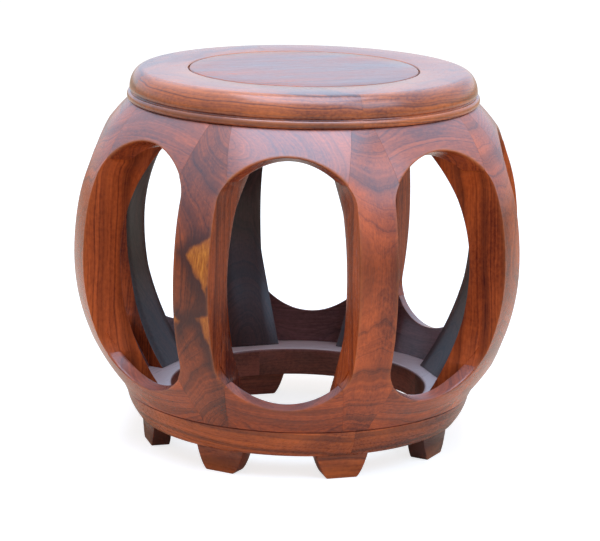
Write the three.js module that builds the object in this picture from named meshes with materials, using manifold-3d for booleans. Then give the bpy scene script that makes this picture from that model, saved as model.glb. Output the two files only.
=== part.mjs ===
// A barrel-shaped rosewood stool on eight curved legs, with a framed seat panel, arched
// aprons between the legs above and below, a base ring and eight small feet.
// Millimetres, +Z up, floor at zero, and an opening centred on the -Y side.
// Angles around the stool are measured from -Y towards +X.

import * as THREE from 'three';
import { mergeVertices } from 'three/addons/utils/BufferGeometryUtils.js';
import Module from 'manifold-3d';

const wasm = await Module();
wasm.setup();

// Whole stool
const legCount = 8;
const stoolHeight = 380;
const clearance = 0.3;
const overrun = 8;

// Barrel shape: one arc below the belly, a flat one above it and a tighter one for the shoulder
const bellyRadius = 232.5;
const bellyRise = 146.2;
const bellyDrop = 148.7;
const lowerArc = 212;
const upperArc = 300;
const upperArcHeight = 50;
const shoulderArc = 175;
const bandHeight = 8.3;
const bandTaper = 4;

// Openings between the legs
const upperApronHeight = 22.7;
const lowerApronHeight = 26.5;
const topArch = 43;
const bottomArch = 44;

// Aprons
const apronThickness = 22;
const soffitShare = 0.6;
const lowerApronFootThickness = 14.5;
const lowerApronSillThickness = 13.5;
const sillRise = 3.2;
const tongueReach = 8;
const tongueRoot = 28;
const lowerTongueThickness = 4;
const lowerTongueHeight = 12;
const lowerTongueRise = 18.2;
const lowerTongueInset = 0.5;
const upperTongueThickness = 6;
const upperTongueHeight = 20;
const upperTongueDrop = 4;
const upperTongueInset = 5.2;

// Legs
const legHalfWidth = 19;
const shoulderFlare = 6.5;
const legThickness = 38.5;
const legInnerLowerArc = 244;
const legInnerUpperArc = 165;
const legHeadThickness = 25.2;
const toeFlare = 7.5;
const toeFlareHeight = 96;
const headFlare = 6.5;
const headFlareHeight = 79;
const seamHalfWidthAtSeat = 11.5;
const seamHalfWidthAtBase = 13;
const legTenonHalfWidth = 11;
const legTenonLength = 14;
const headTenonInset = 4;
const headTenonThickness = 10;
const toeTenonInset = 4.7;
const toeTenonThickness = 9;

// Seat frame, in four curved segments
const seatFrameHeight = 31;
const seatFrameWidth = 61;
const seatRoundWidth = 14;
const seatRoundHeight = 20;
const seatRoundInset = 2.5;
const beadOverhang = 1.8;
const beadFootInset = 1;
const beadHeight = 8;
const quirkDepth = 1.6;
const quirkHeight = 1.4;
const eyeRound = 1;

// Seat panel and its batten
const panelGap = 1.2;
const panelThickness = 12;
const tongueDepth = 6;
const panelTongueThickness = 5;
const panelTongueDrop = 4;
const battenWidth = 26;
const battenHeight = 16;
const dovetailDepth = 4;
const dovetailMouth = 16;
const dovetailFlare = 3;
const battenTenonWidth = 14;
const battenTenonHeight = 8;
const battenTenonLength = 11;
const battenTenonRise = 3;

// Tenons that join the segments of the seat frame and of the base ring
const seatJointInset = 10;
const seatJointWidth = 20;
const seatJointThickness = 8;
const seatJointRise = 7;
const baseJointInset = 3.2;
const baseJointWidth = 12;
const baseJointThickness = 9;
const baseJointRise = 10;
const jointLength = 14;

// Base ring, in four curved segments
const footHeight = 25;
const baseRingHeight = 28.5;
const baseRingWidth = 46.7;
const baseSetback = 1;
const baseTaper = 13;
const baseBulge = 2.3;
const baseInnerRound = 3;

// Feet
const footTurn = 2.2;
const footTopHalfWidth = 26.5;
const footAnkleHalfWidth = 21;
const footAnkleHeight = 5;
const footSoleHalfWidth = 15;
const footSetback = 5.5;
const footDepth = 19;
const footTenonHalfWidth = 9;
const footTenonThickness = 8;
const footTenonLength = 10;

// Fineness of the facets
const ringSteps = 64;
const archSteps = 6;
const flareSteps = 3;
const legSteps = 7;
const arcSteps = 2;
const roundSteps = 5;
const legFaceShares = [-1, -0.5, 0, 0.5, 1];

// Heights and angles that follow from the sizes above
const seatBottom = stoolHeight - seatFrameHeight;
const bodyTop = seatBottom - clearance;
const ledgeHeight = footHeight + baseRingHeight;
const bodyBottom = ledgeHeight + clearance;
const bandTop = bodyBottom + bandHeight;
const openingTop = bodyTop - upperApronHeight;
const openingBottom = bodyBottom + lowerApronHeight;
const springTop = openingTop - topArch;
const springBottom = openingBottom + bottomArch;
const lowerBelly = bodyBottom + bellyRise;
const upperBelly = bodyTop - bellyDrop;
const blankHalfWidth = legHalfWidth + shoulderFlare;
const pitch = (2 * Math.PI) / legCount;
const halfPitch = pitch / 2;
const frameSegments = legCount / 2;
const segmentAngle = 2 * pitch;

const woods = {
  seat: { color: 0x8a3f22, roughness: 0.22 },
  frame: { color: 0x94492a, roughness: 0.22 },
  leg: { color: 0x863a1f, roughness: 0.25 },
  apron: { color: 0x8f4325, roughness: 0.25 },
  base: { color: 0x8b4324, roughness: 0.28 },
  hidden: { color: 0x5c3424, roughness: 0.6 },
};

// Solids

/** Signed volume of a triangle mesh, negative where its faces point inwards. */
function signedVolume(positions, triangles) {
  const a = new THREE.Vector3();
  const b = new THREE.Vector3();
  const c = new THREE.Vector3();
  let sum = 0;
  for (const [i, j, k] of triangles) {
    a.fromArray(positions, 3 * i);
    b.fromArray(positions, 3 * j);
    c.fromArray(positions, 3 * k);
    sum += a.dot(b.cross(c));
  }
  return sum;
}

/** Makes a solid that can be cut and joined out of a closed geometry. */
function solidOf(geometry) {
  const plain = geometry.clone();
  plain.deleteAttribute('normal');
  plain.deleteAttribute('uv');
  const merged = mergeVertices(plain);
  const positions = new Float32Array(merged.attributes.position.array);
  const index = merged.index.array;
  const triangles = [];
  for (let i = 0; i < index.length; i += 3) {
    const [a, b, c] = [index[i], index[i + 1], index[i + 2]];
    if (a !== b && b !== c && c !== a) triangles.push([a, b, c]);
  }
  const inward = signedVolume(positions, triangles) < 0;
  const ordered = inward ? triangles.map(([a, b, c]) => [a, c, b]) : triangles;
  const triVerts = new Uint32Array(ordered.flat());
  return new wasm.Manifold(new wasm.Mesh({ numProp: 3, vertProperties: positions, triVerts }));
}

/** Turns a solid back into a geometry. */
function geometryOf(solid) {
  const mesh = solid.getMesh();
  const geometry = new THREE.BufferGeometry();
  geometry.setAttribute('position', new THREE.BufferAttribute(mesh.vertProperties, 3));
  geometry.setIndex(new THREE.BufferAttribute(mesh.triVerts, 1));
  geometry.computeVertexNormals();
  return geometry;
}

/** Turns a solid about the stool's axis. */
function turned(solid, angle) {
  return solid.rotate([0, 0, THREE.MathUtils.radToDeg(angle)]);
}

/** A block from one corner to the other, given as [x, distance in front of the axis, z]. */
function block(low, high) {
  const size = high.map((value, axis) => value - low[axis]);
  const middle = high.map((value, axis) => (value + low[axis]) / 2);
  const geometry = new THREE.BoxGeometry(...size);
  geometry.translate(middle[0], -middle[1], middle[2]);
  return solidOf(geometry);
}

/** Revolves a closed outline of [radius, height] points about the stool's axis. */
function revolved(outline) {
  const points = [...outline, outline[0]].map(([radius, height]) => new THREE.Vector2(radius, height));
  const geometry = new THREE.LatheGeometry(points, ringSteps, halfPitch);
  geometry.rotateX(Math.PI / 2);
  return solidOf(geometry);
}

/** Extrudes an outline of [x, z] points from one distance in front of the axis to another. */
function frontPrism(outline, nearAxis, farFromAxis) {
  const shape = new THREE.Shape(outline.map(([x, z]) => new THREE.Vector2(x, z)));
  return shapePrism(shape, nearAxis, farFromAxis);
}

/** Extrudes a shape drawn in x and z from one distance in front of the axis to another. */
function shapePrism(shape, nearAxis, farFromAxis) {
  const options = { depth: farFromAxis - nearAxis, bevelEnabled: false, curveSegments: roundSteps };
  const geometry = new THREE.ExtrudeGeometry(shape, options);
  geometry.rotateX(Math.PI / 2);
  geometry.translate(0, -nearAxis, 0);
  return solidOf(geometry);
}

/** Skins a solid through rows of points; flatten lays an end row flat for its cap. */
function loft(rows, flatten) {
  const count = rows[0].length;
  const vertices = rows.flat().flatMap((point) => point.toArray());
  const triangles = [];
  for (let row = 0; row + 1 < rows.length; row += 1) {
    for (let i = 0; i < count; i += 1) {
      const next = (i + 1) % count;
      const [a, b] = [row * count + i, row * count + next];
      const [c, d] = [a + count, b + count];
      triangles.push([a, b, d], [a, d, c]);
    }
  }
  const last = (rows.length - 1) * count;
  for (const [a, b, c] of capTriangles(rows[0].map(flatten))) triangles.push([a, c, b]);
  for (const cap of capTriangles(rows[rows.length - 1].map(flatten))) {
    triangles.push(cap.map((i) => i + last));
  }
  const geometry = new THREE.BufferGeometry();
  geometry.setAttribute('position', new THREE.Float32BufferAttribute(vertices, 3));
  geometry.setIndex(triangles.flat());
  return solidOf(geometry);
}

/** Triangles that fill an outline, turning the same way as the outline does. */
function capTriangles(outline) {
  const way = Math.sign(THREE.ShapeUtils.area(outline));
  return THREE.ShapeUtils.triangulateShape(outline, []).map(([a, b, c]) => {
    const area = THREE.ShapeUtils.area([outline[a], outline[b], outline[c]]);
    return Math.sign(area) === way ? [a, b, c] : [a, c, b];
  });
}

/** Evenly spaced values from the first to the last. */
function spread(first, last, steps) {
  return Array.from({ length: steps + 1 }, (_, i) => first + ((last - first) * i) / steps);
}

// Curves of the barrel

/** How far an arc has come in at a rise from where it bulges most. */
function sagitta(arc, rise) {
  return arc - Math.sqrt(arc * arc - rise * rise);
}

/** Slope of the outside above the belly, as the angle of its outward normal. */
function outerSlope(height) {
  const rise = Math.max(height - upperBelly, 0);
  const bend = Math.asin(Math.min(rise, upperArcHeight) / upperArc);
  return Math.asin(Math.sin(bend) + Math.max(rise - upperArcHeight, 0) / shoulderArc);
}

/** How far the outside has come in above the belly, at a distance inside it. */
function upperSetback(height, depth) {
  const rise = Math.max(height - upperBelly, 0);
  const bend = Math.asin(upperArcHeight / upperArc);
  const bendRise = (upperArc - depth) * Math.sin(bend);
  if (rise < bendRise) return sagitta(upperArc - depth, rise);
  const arc = shoulderArc - depth;
  const shoulderRise = rise - bendRise + arc * Math.sin(bend);
  return (upperArc - shoulderArc) * (1 - Math.cos(bend)) + sagitta(arc, shoulderRise);
}

/** Radius at a distance inside the outside of the barrel, at a height above the band. */
function barrelRadius(height, depth) {
  const lowerSetback = sagitta(lowerArc - depth, Math.max(lowerBelly - height, 0));
  return bellyRadius - depth - Math.max(lowerSetback, upperSetback(height, depth));
}

/** Outer radius of the legs and aprons. */
function outerRadius(height) {
  const radius = barrelRadius(Math.max(height, bandTop), 0);
  const under = Math.max(bandTop - height, 0) / bandHeight;
  return radius - bandTaper * under;
}

const headRadius = outerRadius(bodyTop);
const toeRadius = outerRadius(bodyBottom);
const sillInnerRadius = outerRadius(openingBottom) - lowerApronSillThickness;

/** Radius of the inside of the lower aprons, a straight line that leans outwards. */
function lowerInnerRadius(height) {
  const footRadius = toeRadius - lowerApronFootThickness;
  const lean = (sillInnerRadius - footRadius) / (lowerApronHeight + sillRise);
  return footRadius + lean * (height - bodyBottom);
}

/** Radius of the inside of a leg, which comes in no further than its head. */
function legInnerRadius(height) {
  const widest = bellyRadius - legThickness;
  const headSetback = widest - headRadius + legHeadThickness;
  const reach = Math.sqrt(legInnerUpperArc ** 2 - (legInnerUpperArc - headSetback) ** 2);
  const lowerSetback = sagitta(legInnerLowerArc, Math.max(lowerBelly - height, 0));
  const rise = Math.min(Math.max(height - upperBelly, 0), reach);
  return widest - Math.max(lowerSetback, sagitta(legInnerUpperArc, rise));
}

/** Half the angle of an opening at a height, on the outside of the barrel. */
function openingHalfAngle(height) {
  const full = halfPitch - Math.asin(legHalfWidth / outerRadius(height));
  const above = Math.max(height - springTop, 0) / topArch;
  const below = Math.max(springBottom - height, 0) / bottomArch;
  const share = Math.sqrt(Math.max(1 - Math.max(above, below) ** 2, 0));
  return Math.asin(Math.sin(full) * share);
}

/** Half the width of a leg where the openings bound it. */
function legEdge(height) {
  return outerRadius(height) * Math.sin(halfPitch - openingHalfAngle(height));
}

/** Height between two others where the leg is as wide as the blank that it is cut from. */
function shoulderHeight(narrow, wide) {
  const halvings = 40;
  let [inside, outside] = [narrow, wide];
  for (let i = 0; i < halvings; i += 1) {
    const middle = (inside + outside) / 2;
    if (legEdge(middle) < blankHalfWidth) inside = middle;
    else outside = middle;
  }
  return (inside + outside) / 2;
}

const lowerShoulder = shoulderHeight(springBottom, openingBottom);
const upperShoulder = shoulderHeight(springTop, openingTop);

/** Point of the stool at a radius, angle and height. */
function around(radius, angle, height) {
  return new THREE.Vector3(radius * Math.sin(angle), -radius * Math.cos(angle), height);
}

/** Lays a point flat by its distance from the axis and its height. */
function flatByRadius(point) {
  return new THREE.Vector2(Math.hypot(point.x, point.y), point.z);
}

// Aprons

/** Places along half an apron, from its end inside a leg to the middle: angle and edge height. */
function apronPlaces(spring, arch, shoulder) {
  const startShare = Math.abs(shoulder - spring) / Math.abs(arch);
  const start = Math.asin(startShare);
  const places = spread(start, Math.PI / 2, archSteps).map((turn) => {
    const height = spring + arch * Math.sin(turn);
    return { angle: -openingHalfAngle(height), height };
  });
  const endAngle = halfPitch - Math.asin(tongueReach / outerRadius(shoulder));
  return [{ angle: -endAngle, height: shoulder }, ...places];
}

/** Rows of a whole apron from the places along its left half. */
function apronRows(places, section) {
  const right = places.slice(0, -1).reverse().map(({ angle, height }) => ({ angle: -angle, height }));
  return [...places, ...right].map(({ angle, height }) => section(height)
    .map(([radius, z]) => around(radius, angle, z)));
}

/** Lower apron before its ends are cut, or its space grown all round and past the outside. */
function lowerApronBlank(grow, growOut) {
  const section = (edge) => [
    [lowerInnerRadius(bodyBottom) - grow, bodyBottom - grow],
    [outerRadius(bodyBottom) + growOut, bodyBottom - grow],
    ...spread(bandTop, edge + grow, arcSteps).map((z) => [outerRadius(z) + growOut, z]),
    [lowerInnerRadius(edge + sillRise) - grow, edge + sillRise + grow],
  ];
  return loft(apronRows(apronPlaces(springBottom, -bottomArch, lowerShoulder), section), flatByRadius);
}

/** Upper apron before its ends are cut, or its space grown all round and past the outside. */
function upperApronBlank(grow, growOut) {
  const top = bodyTop + grow;
  const section = (edge) => {
    const innerEdge = edge - grow - soffitShare * apronThickness * Math.sin(outerSlope(edge));
    return [
      ...spread(edge - grow, top, arcSteps).map((z) => [outerRadius(z) + growOut, z]),
      ...spread(top, innerEdge, arcSteps).map((z) => [barrelRadius(z, apronThickness) - grow, z]),
    ];
  };
  return loft(apronRows(apronPlaces(springTop, topArch, upperShoulder), section), flatByRadius);
}

/** The face that a leg shows between the slanting shoulders of the aprons, as a prism. */
function legFace(grow) {
  const bottom = bodyBottom - overrun;
  const top = bodyTop + overrun;
  const right = [
    [seamHalfWidthAtBase, bottom],
    [seamHalfWidthAtBase, bodyBottom],
    [blankHalfWidth, lowerShoulder],
    [blankHalfWidth, upperShoulder],
    [seamHalfWidthAtSeat, bodyTop],
    [seamHalfWidthAtSeat, top],
  ].map(([x, z]) => [x + grow, z]);
  const left = right.map(([x, z]) => [-x, z]).reverse();
  return frontPrism([...right, ...left], 0, bellyRadius + overrun);
}

const lowerTongue = {
  inner: sillInnerRadius + lowerTongueInset,
  thickness: lowerTongueThickness,
  bottom: bodyBottom + lowerTongueRise,
  height: lowerTongueHeight,
};
const upperTongue = {
  inner: headRadius - upperTongueInset,
  thickness: upperTongueThickness,
  bottom: bodyTop - upperTongueDrop - upperTongueHeight,
  height: upperTongueHeight,
};

/** Tongue of an apron that goes into the leg, or its pocket where it is grown. */
function apronTongue({ inner, thickness, bottom, height }, side, grow) {
  const [near, far] = [tongueReach - grow, tongueRoot];
  const [left, right] = side < 0 ? [-far, -near] : [near, far];
  return block(
    [left, inner - grow, bottom - grow],
    [right, inner + thickness + grow, bottom + height + grow],
  );
}

/** Cuts the slanting shoulders of an apron and gives it a tongue at each end. */
function apron(blank, tongue) {
  const face = legFace(clearance);
  return [-1, 1].reduce((piece, side) => {
    const shouldered = piece.subtract(turned(face, side * halfPitch));
    return shouldered.add(turned(apronTongue(tongue, -side, 0), side * halfPitch));
  }, blank);
}

function lowerApron() {
  return apron(lowerApronBlank(0, 0), lowerTongue);
}

function upperApron() {
  return apron(upperApronBlank(0, 0), upperTongue);
}

// Legs

/** Heights of the rows of a leg on its outside. */
function legHeights() {
  const flare = spread(0, 1, flareSteps);
  const lowerFlare = flare.map((share) => lowerShoulder + (springBottom - lowerShoulder) * share);
  const upperFlare = flare.map((share) => springTop + (upperShoulder - springTop) * share);
  return [
    bodyBottom,
    ...spread(bandTop, lowerShoulder, arcSteps).slice(0, -1),
    ...lowerFlare.slice(0, -1),
    ...spread(springBottom, springTop, legSteps).slice(0, -1),
    ...upperFlare.slice(0, -1),
    ...spread(upperShoulder, bodyTop, arcSteps),
  ];
}

/** Height on the inside of a leg that is cut square through from a height on its outside. */
function innerHeight(height) {
  const rounds = 12;
  const fade = Math.min((bodyTop - height) / (bodyTop - upperShoulder), 1);
  const slope = soffitShare * Math.tan(outerSlope(height)) * fade;
  let inner = height;
  for (let i = 0; i < rounds; i += 1) {
    inner = height - (outerRadius(height) - legInnerRadius(inner)) * slope;
  }
  return inner;
}

/** Half the width of a leg on its inside, which spreads at both ends. */
function legInnerHalfWidth(height) {
  const toe = Math.min(Math.max(1 - (height - bodyBottom) / toeFlareHeight, 0), 1);
  const head = Math.min(Math.max(1 - (bodyTop - height) / headFlareHeight, 0), 1);
  return legHalfWidth
    + toeFlare * Math.sin((toe * Math.PI) / 2)
    + headFlare * Math.sin((head * Math.PI) / 2);
}

/** One row of a leg that stands in front of the axis: round outside and flat inside. */
function legRow(height) {
  const half = Math.min(legEdge(height), blankHalfWidth);
  const radius = outerRadius(height);
  const within = innerHeight(height);
  const outside = legFaceShares.map((share) => {
    const x = share * half;
    return new THREE.Vector3(x, -Math.sqrt(radius * radius - x * x), height);
  });
  const innerHalf = legInnerHalfWidth(within);
  const inside = [innerHalf, -innerHalf].map((x) => (
    new THREE.Vector3(x, -legInnerRadius(within), within)
  ));
  return [...outside, ...inside];
}

/** Tenon at the head of a leg, or its pocket where it is grown. */
function headTenon(grow) {
  const inner = headRadius - legHeadThickness + headTenonInset;
  return block(
    [-legTenonHalfWidth - grow, inner - grow, bodyTop - overrun],
    [legTenonHalfWidth + grow, inner + headTenonThickness + grow, bodyTop + legTenonLength + grow],
  );
}

/** Tenon at the foot of a leg, or its pocket where it is grown. */
function toeTenon(grow) {
  const inner = legInnerRadius(bodyBottom) + toeTenonInset;
  return block(
    [-legTenonHalfWidth - grow, inner - grow, ledgeHeight - legTenonLength - grow],
    [legTenonHalfWidth + grow, inner + toeTenonThickness + grow, ledgeHeight + overrun],
  );
}

function leg() {
  const face = legFace(0);
  const notches = [lowerApronBlank(clearance, overrun), upperApronBlank(clearance, overrun)];
  let piece = loft(legHeights().map(legRow), (point) => new THREE.Vector2(point.x, point.y));
  for (const side of [-1, 1]) {
    for (const notch of notches) {
      piece = piece.subtract(turned(notch, side * halfPitch).subtract(face));
    }
    for (const tongue of [lowerTongue, upperTongue]) {
      piece = piece.subtract(apronTongue(tongue, side, clearance));
    }
  }
  return piece.add(headTenon(0)).add(toeTenon(0));
}

// Seat frame and base ring

const beadRadius = headRadius + beadOverhang;
const seatRoundRadius = beadRadius - seatRoundInset;
const seatOpeningRadius = beadRadius - seatFrameWidth;
const baseUpperRadius = toeRadius - baseSetback;
const baseLowerRadius = baseUpperRadius - baseTaper;
const baseInnerRadius = baseUpperRadius - baseRingWidth;

/** A tenon that joins one segment of a ring to the next, or its pocket where it is grown. */
function ringTenon(radius, width, bottom, thickness, grow) {
  return block(
    [-jointLength - grow, radius - grow, bottom - grow],
    [grow > 0 ? 0 : jointLength, radius + width + grow, bottom + thickness + grow],
  );
}

/** One quarter of a ring, from over one leg to over the next but one. */
function ringSegment(ring, joint) {
  const reach = 2 * bellyRadius;
  const back = clearance / 2 / Math.sin(segmentAngle / 2);
  const start = halfPitch;
  const middle = start + segmentAngle / 2;
  const apex = around(back, middle, 0);
  const corners = [start, middle, start + segmentAngle].map((angle) => around(reach, angle, 0).add(apex));
  const outline = new THREE.Shape([apex, ...corners].map((point) => new THREE.Vector2(point.x, point.y)));
  const wedge = new THREE.ExtrudeGeometry(outline, { depth: stoolHeight + overrun, bevelEnabled: false });
  return ring
    .intersect(solidOf(wedge))
    .add(turned(ringTenon(...joint, 0), start))
    .subtract(turned(ringTenon(...joint, clearance), start + segmentAngle));
}

/** Takes one pocket for each leg or foot out of a ring. */
function withPockets(ring, pocket, firstAngle) {
  let piece = ring;
  for (let i = 0; i < legCount; i += 1) piece = piece.subtract(turned(pocket, firstAngle + i * pitch));
  return piece;
}

const grooveTop = stoolHeight - panelTongueDrop + clearance;
const grooveBottom = grooveTop - panelTongueThickness - 2 * clearance;
const grooveRadius = seatOpeningRadius - panelGap + tongueDepth + clearance;

function seatFrameRing() {
  const roundCentre = stoolHeight - seatRoundHeight;
  const roundOuter = spread(0, Math.PI / 2, roundSteps).map((turn) => [
    seatRoundRadius - seatRoundWidth * (1 - Math.sin(turn)),
    roundCentre + seatRoundHeight * Math.cos(turn),
  ]);
  const beadTop = seatBottom + beadHeight;
  return revolved([
    [seatOpeningRadius, seatBottom],
    [beadRadius - beadFootInset, seatBottom],
    [beadRadius, seatBottom + beadHeight / 3],
    [beadRadius, beadTop - beadHeight / 3],
    [seatRoundRadius - quirkDepth, beadTop],
    [seatRoundRadius - quirkDepth, Math.min(beadTop + quirkHeight, roundCentre)],
    ...roundOuter.reverse(),
    [seatOpeningRadius + eyeRound, stoolHeight],
    [seatOpeningRadius, stoolHeight - eyeRound],
    [seatOpeningRadius, grooveTop],
    [grooveRadius, grooveTop],
    [grooveRadius, grooveBottom],
    [seatOpeningRadius, grooveBottom],
  ]);
}

function baseRing() {
  const chordShares = spread(0, 1, roundSteps);
  const outer = chordShares.map((share) => [
    baseLowerRadius + (baseUpperRadius - baseLowerRadius) * share + baseBulge * Math.sin(Math.PI * share),
    footHeight + baseRingHeight * share,
  ]);
  return revolved([
    [baseInnerRadius, footHeight],
    ...outer,
    [baseInnerRadius + baseInnerRound, ledgeHeight],
    [baseInnerRadius, ledgeHeight - baseInnerRound],
  ]);
}

const seatJoint = [
  seatOpeningRadius + seatJointInset,
  seatJointWidth,
  seatBottom + seatJointRise,
  seatJointThickness,
];
const baseJoint = [
  baseInnerRadius + baseJointInset,
  baseJointWidth,
  footHeight + baseJointRise,
  baseJointThickness,
];

function seatFrameSegment(ring, holdsBatten) {
  const segment = ringSegment(ring, seatJoint);
  return holdsBatten ? segment.subtract(turned(battenTenon(clearance), Math.PI / 2)) : segment;
}

// Seat panel and batten

const panelRadius = seatOpeningRadius - panelGap;
const panelBottom = stoolHeight - panelThickness;

/** The batten's cross-section, grown where it is the slot in the panel. */
function battenOutline(grow) {
  const mouth = dovetailMouth / 2 + grow;
  const crest = mouth + dovetailFlare;
  const half = battenWidth / 2 + grow;
  const top = panelBottom - clearance + grow;
  const right = [
    [half, top - battenHeight],
    [half, top],
    [mouth, top],
    [crest, top + dovetailDepth],
  ];
  const left = right.map(([x, z]) => [-x, z]).reverse();
  return [...right, ...left];
}

/** Tenon at the front end of the batten, or its pocket where it is grown. */
function battenTenon(grow) {
  const half = battenTenonWidth / 2 + grow;
  const bottom = panelBottom - clearance - battenHeight + battenTenonRise;
  const start = seatOpeningRadius - overrun;
  return block(
    [-half, start, bottom - grow],
    [half, seatOpeningRadius + battenTenonLength + grow, bottom + battenTenonHeight + grow],
  );
}

function seatBatten() {
  const half = battenWidth / 2;
  const end = Math.sqrt(seatOpeningRadius ** 2 - half ** 2) - clearance;
  const bar = frontPrism(battenOutline(0), -end, end);
  return bar.add(battenTenon(0)).add(turned(battenTenon(0), Math.PI));
}

function seatPanel() {
  const tongueTop = stoolHeight - panelTongueDrop;
  const tongueRim = panelRadius + tongueDepth;
  const disc = revolved([
    [0, panelBottom],
    [panelRadius, panelBottom],
    [panelRadius, tongueTop - panelTongueThickness],
    [tongueRim, tongueTop - panelTongueThickness],
    [tongueRim, tongueTop],
    [panelRadius, tongueTop],
    [panelRadius, stoolHeight - eyeRound],
    [panelRadius - eyeRound, stoolHeight],
    [0, stoolHeight],
  ]);
  const reach = tongueRim + overrun;
  return disc.subtract(frontPrism(battenOutline(clearance), -reach, reach));
}

// Feet

const footFrontRadius = baseLowerRadius - footSetback;

/** Tenon on top of a foot, or its pocket where it is grown. */
function footTenon(grow) {
  const inner = footFrontRadius - (footDepth + footTenonThickness) / 2;
  return block(
    [-footTenonHalfWidth - grow, inner - grow, footHeight - overrun],
    [footTenonHalfWidth + grow, inner + footTenonThickness + grow, footHeight + footTenonLength + grow],
  );
}

function foot() {
  const top = footHeight - clearance;
  const shape = new THREE.Shape();
  shape.moveTo(-footSoleHalfWidth, 0);
  shape.lineTo(footSoleHalfWidth, 0);
  shape.quadraticCurveTo(footAnkleHalfWidth, footAnkleHeight, footTopHalfWidth, top);
  shape.lineTo(-footTopHalfWidth, top);
  shape.quadraticCurveTo(-footAnkleHalfWidth, footAnkleHeight, -footSoleHalfWidth, 0);
  return shapePrism(shape, footFrontRadius - footDepth, footFrontRadius).add(footTenon(0));
}

// Assembly

const stool = new THREE.Group();

/** Adds one named piece of the stool, turned to its place. */
function place(name, geometry, wood, angle) {
  const material = new THREE.MeshStandardMaterial({ ...woods[wood], metalness: 0 });
  const mesh = new THREE.Mesh(geometry, material);
  mesh.name = name;
  mesh.rotation.z = angle;
  stool.add(mesh);
}

/** Adds a ring of like pieces, one for each leg or each opening. */
function placeAround(name, solid, wood, firstAngle) {
  const geometry = geometryOf(solid);
  for (let i = 0; i < legCount; i += 1) place(`${name}_${i + 1}`, geometry, wood, firstAngle + i * pitch);
}

const footAngle = halfPitch - THREE.MathUtils.degToRad(footTurn);
const seatRing = withPockets(seatFrameRing(), headTenon(clearance), halfPitch);
const toeRing = withPockets(baseRing(), toeTenon(clearance), halfPitch);
const footRing = withPockets(toeRing, footTenon(clearance), footAngle);

place('seat_panel', geometryOf(seatPanel()), 'seat', 0);
place('seat_batten', geometryOf(seatBatten()), 'hidden', 0);
for (let i = 0; i < frameSegments; i += 1) {
  const segment = seatFrameSegment(seatRing, i % 2 === 1);
  place(`seat_frame_${i + 1}`, geometryOf(segment), 'frame', i * segmentAngle);
}
placeAround('leg', leg(), 'leg', halfPitch);
placeAround('upper_apron', upperApron(), 'apron', 0);
placeAround('lower_apron', lowerApron(), 'apron', 0);
const baseSegment = geometryOf(ringSegment(footRing, baseJoint));
for (let i = 0; i < frameSegments; i += 1) {
  place(`base_ring_${i + 1}`, baseSegment, 'base', i * segmentAngle);
}
placeAround('foot', foot(), 'base', footAngle);

export default stool;
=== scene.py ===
"""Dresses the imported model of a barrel-shaped rosewood stool piece by piece, in metres."""
import logging
import math
from contextlib import contextmanager
from dataclasses import dataclass, replace
from enum import Enum, IntEnum
from typing import Callable, Iterator, Sequence

import bpy
import numpy as np
from mathutils import Matrix, Vector


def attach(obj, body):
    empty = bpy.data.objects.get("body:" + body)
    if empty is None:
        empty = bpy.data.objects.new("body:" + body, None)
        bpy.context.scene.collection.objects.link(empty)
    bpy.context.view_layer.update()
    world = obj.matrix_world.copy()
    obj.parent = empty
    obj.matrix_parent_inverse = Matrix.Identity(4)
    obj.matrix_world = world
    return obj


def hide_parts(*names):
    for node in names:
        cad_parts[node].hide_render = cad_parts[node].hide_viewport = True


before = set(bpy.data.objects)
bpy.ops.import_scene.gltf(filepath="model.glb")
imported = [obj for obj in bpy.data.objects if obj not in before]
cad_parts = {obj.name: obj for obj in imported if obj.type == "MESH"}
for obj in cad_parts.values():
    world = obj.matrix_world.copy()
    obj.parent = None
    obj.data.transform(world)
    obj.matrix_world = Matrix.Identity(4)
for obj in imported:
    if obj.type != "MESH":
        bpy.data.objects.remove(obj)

LOG = logging.getLogger("stool")
Colour = tuple[float, float, float]
Place = tuple[float, float, float]
Outline = list[tuple[float, float]]
Piece = bpy.types.Object
Face = bpy.types.MeshPolygon
Material = bpy.types.Material
Socket = bpy.types.NodeSocket
NodeTree = bpy.types.NodeTree

LEGS = 8
QUARTERS = 4
HALF_PITCH = math.pi / LEGS
ROOT = "root"
UP = Vector((0, 0, 1))
RIGHT = Vector((1, 0, 0))
FRONT = Vector((0, -1, 0))
BISECTIONS = 40
MERGE_DISTANCE = 0.00002
SHARP_DEGREES = 40
SILL_SHARES = (0.2, 0.4, 0.6, 0.8)
EDGE_WEAR_AND_HIGHLIGHT_REACH = 0.0034
STRETCH_REACH = 4
PITH_REACH = 0.02


class Level(Enum):
    """Which row of aprons a piece belongs to."""

    UPPER = "upper"
    LOWER = "lower"


class Slot(Enum):
    """The record's material slots."""

    SEAT = "seat"
    FRAME = "frame"
    LEG = "leg"
    APRON = "apron"
    BASE = "base"
    HIDDEN = "hidden"


class Seed(IntEnum):
    """Where the seeds of the pieces' stretches of wood start."""

    PANEL = 7
    BATTEN = 11
    LEG = 100
    UPPER_APRON = 200
    LOWER_APRON = 250
    SEAT_FRAME = 300
    BASE_RING = 400
    FOOT = 500


# Measures and curves


def sagitta(arc: float, rise: float) -> float:
    """How far an arc has come in at a rise from where it bulges most."""
    return arc - math.sqrt(arc * arc - rise * rise)


def around(radius: float, angle: float, height: float) -> Vector:
    """Point of the stool at a radius, an angle from the front towards the right, and a height."""
    return Vector((radius * math.sin(angle), -radius * math.cos(angle), height))


def clamped(value: float) -> float:
    """A value, kept within 0 and 1."""
    return min(max(float(value), 0.0), 1.0)


def boundary(inside: float, outside: float, holds: Callable[[float], bool]) -> float:
    """Last value on the way from inside to outside at which a test holds.

    Args:
        inside: A value at which the test holds.
        outside: A value at which it fails.
        holds: The test.

    Returns:
        The value, found by halving the way.
    """
    for _ in range(BISECTIONS):
        middle = (inside + outside) / 2
        if holds(middle):
            inside = middle
        else:
            outside = middle
    return inside


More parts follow.
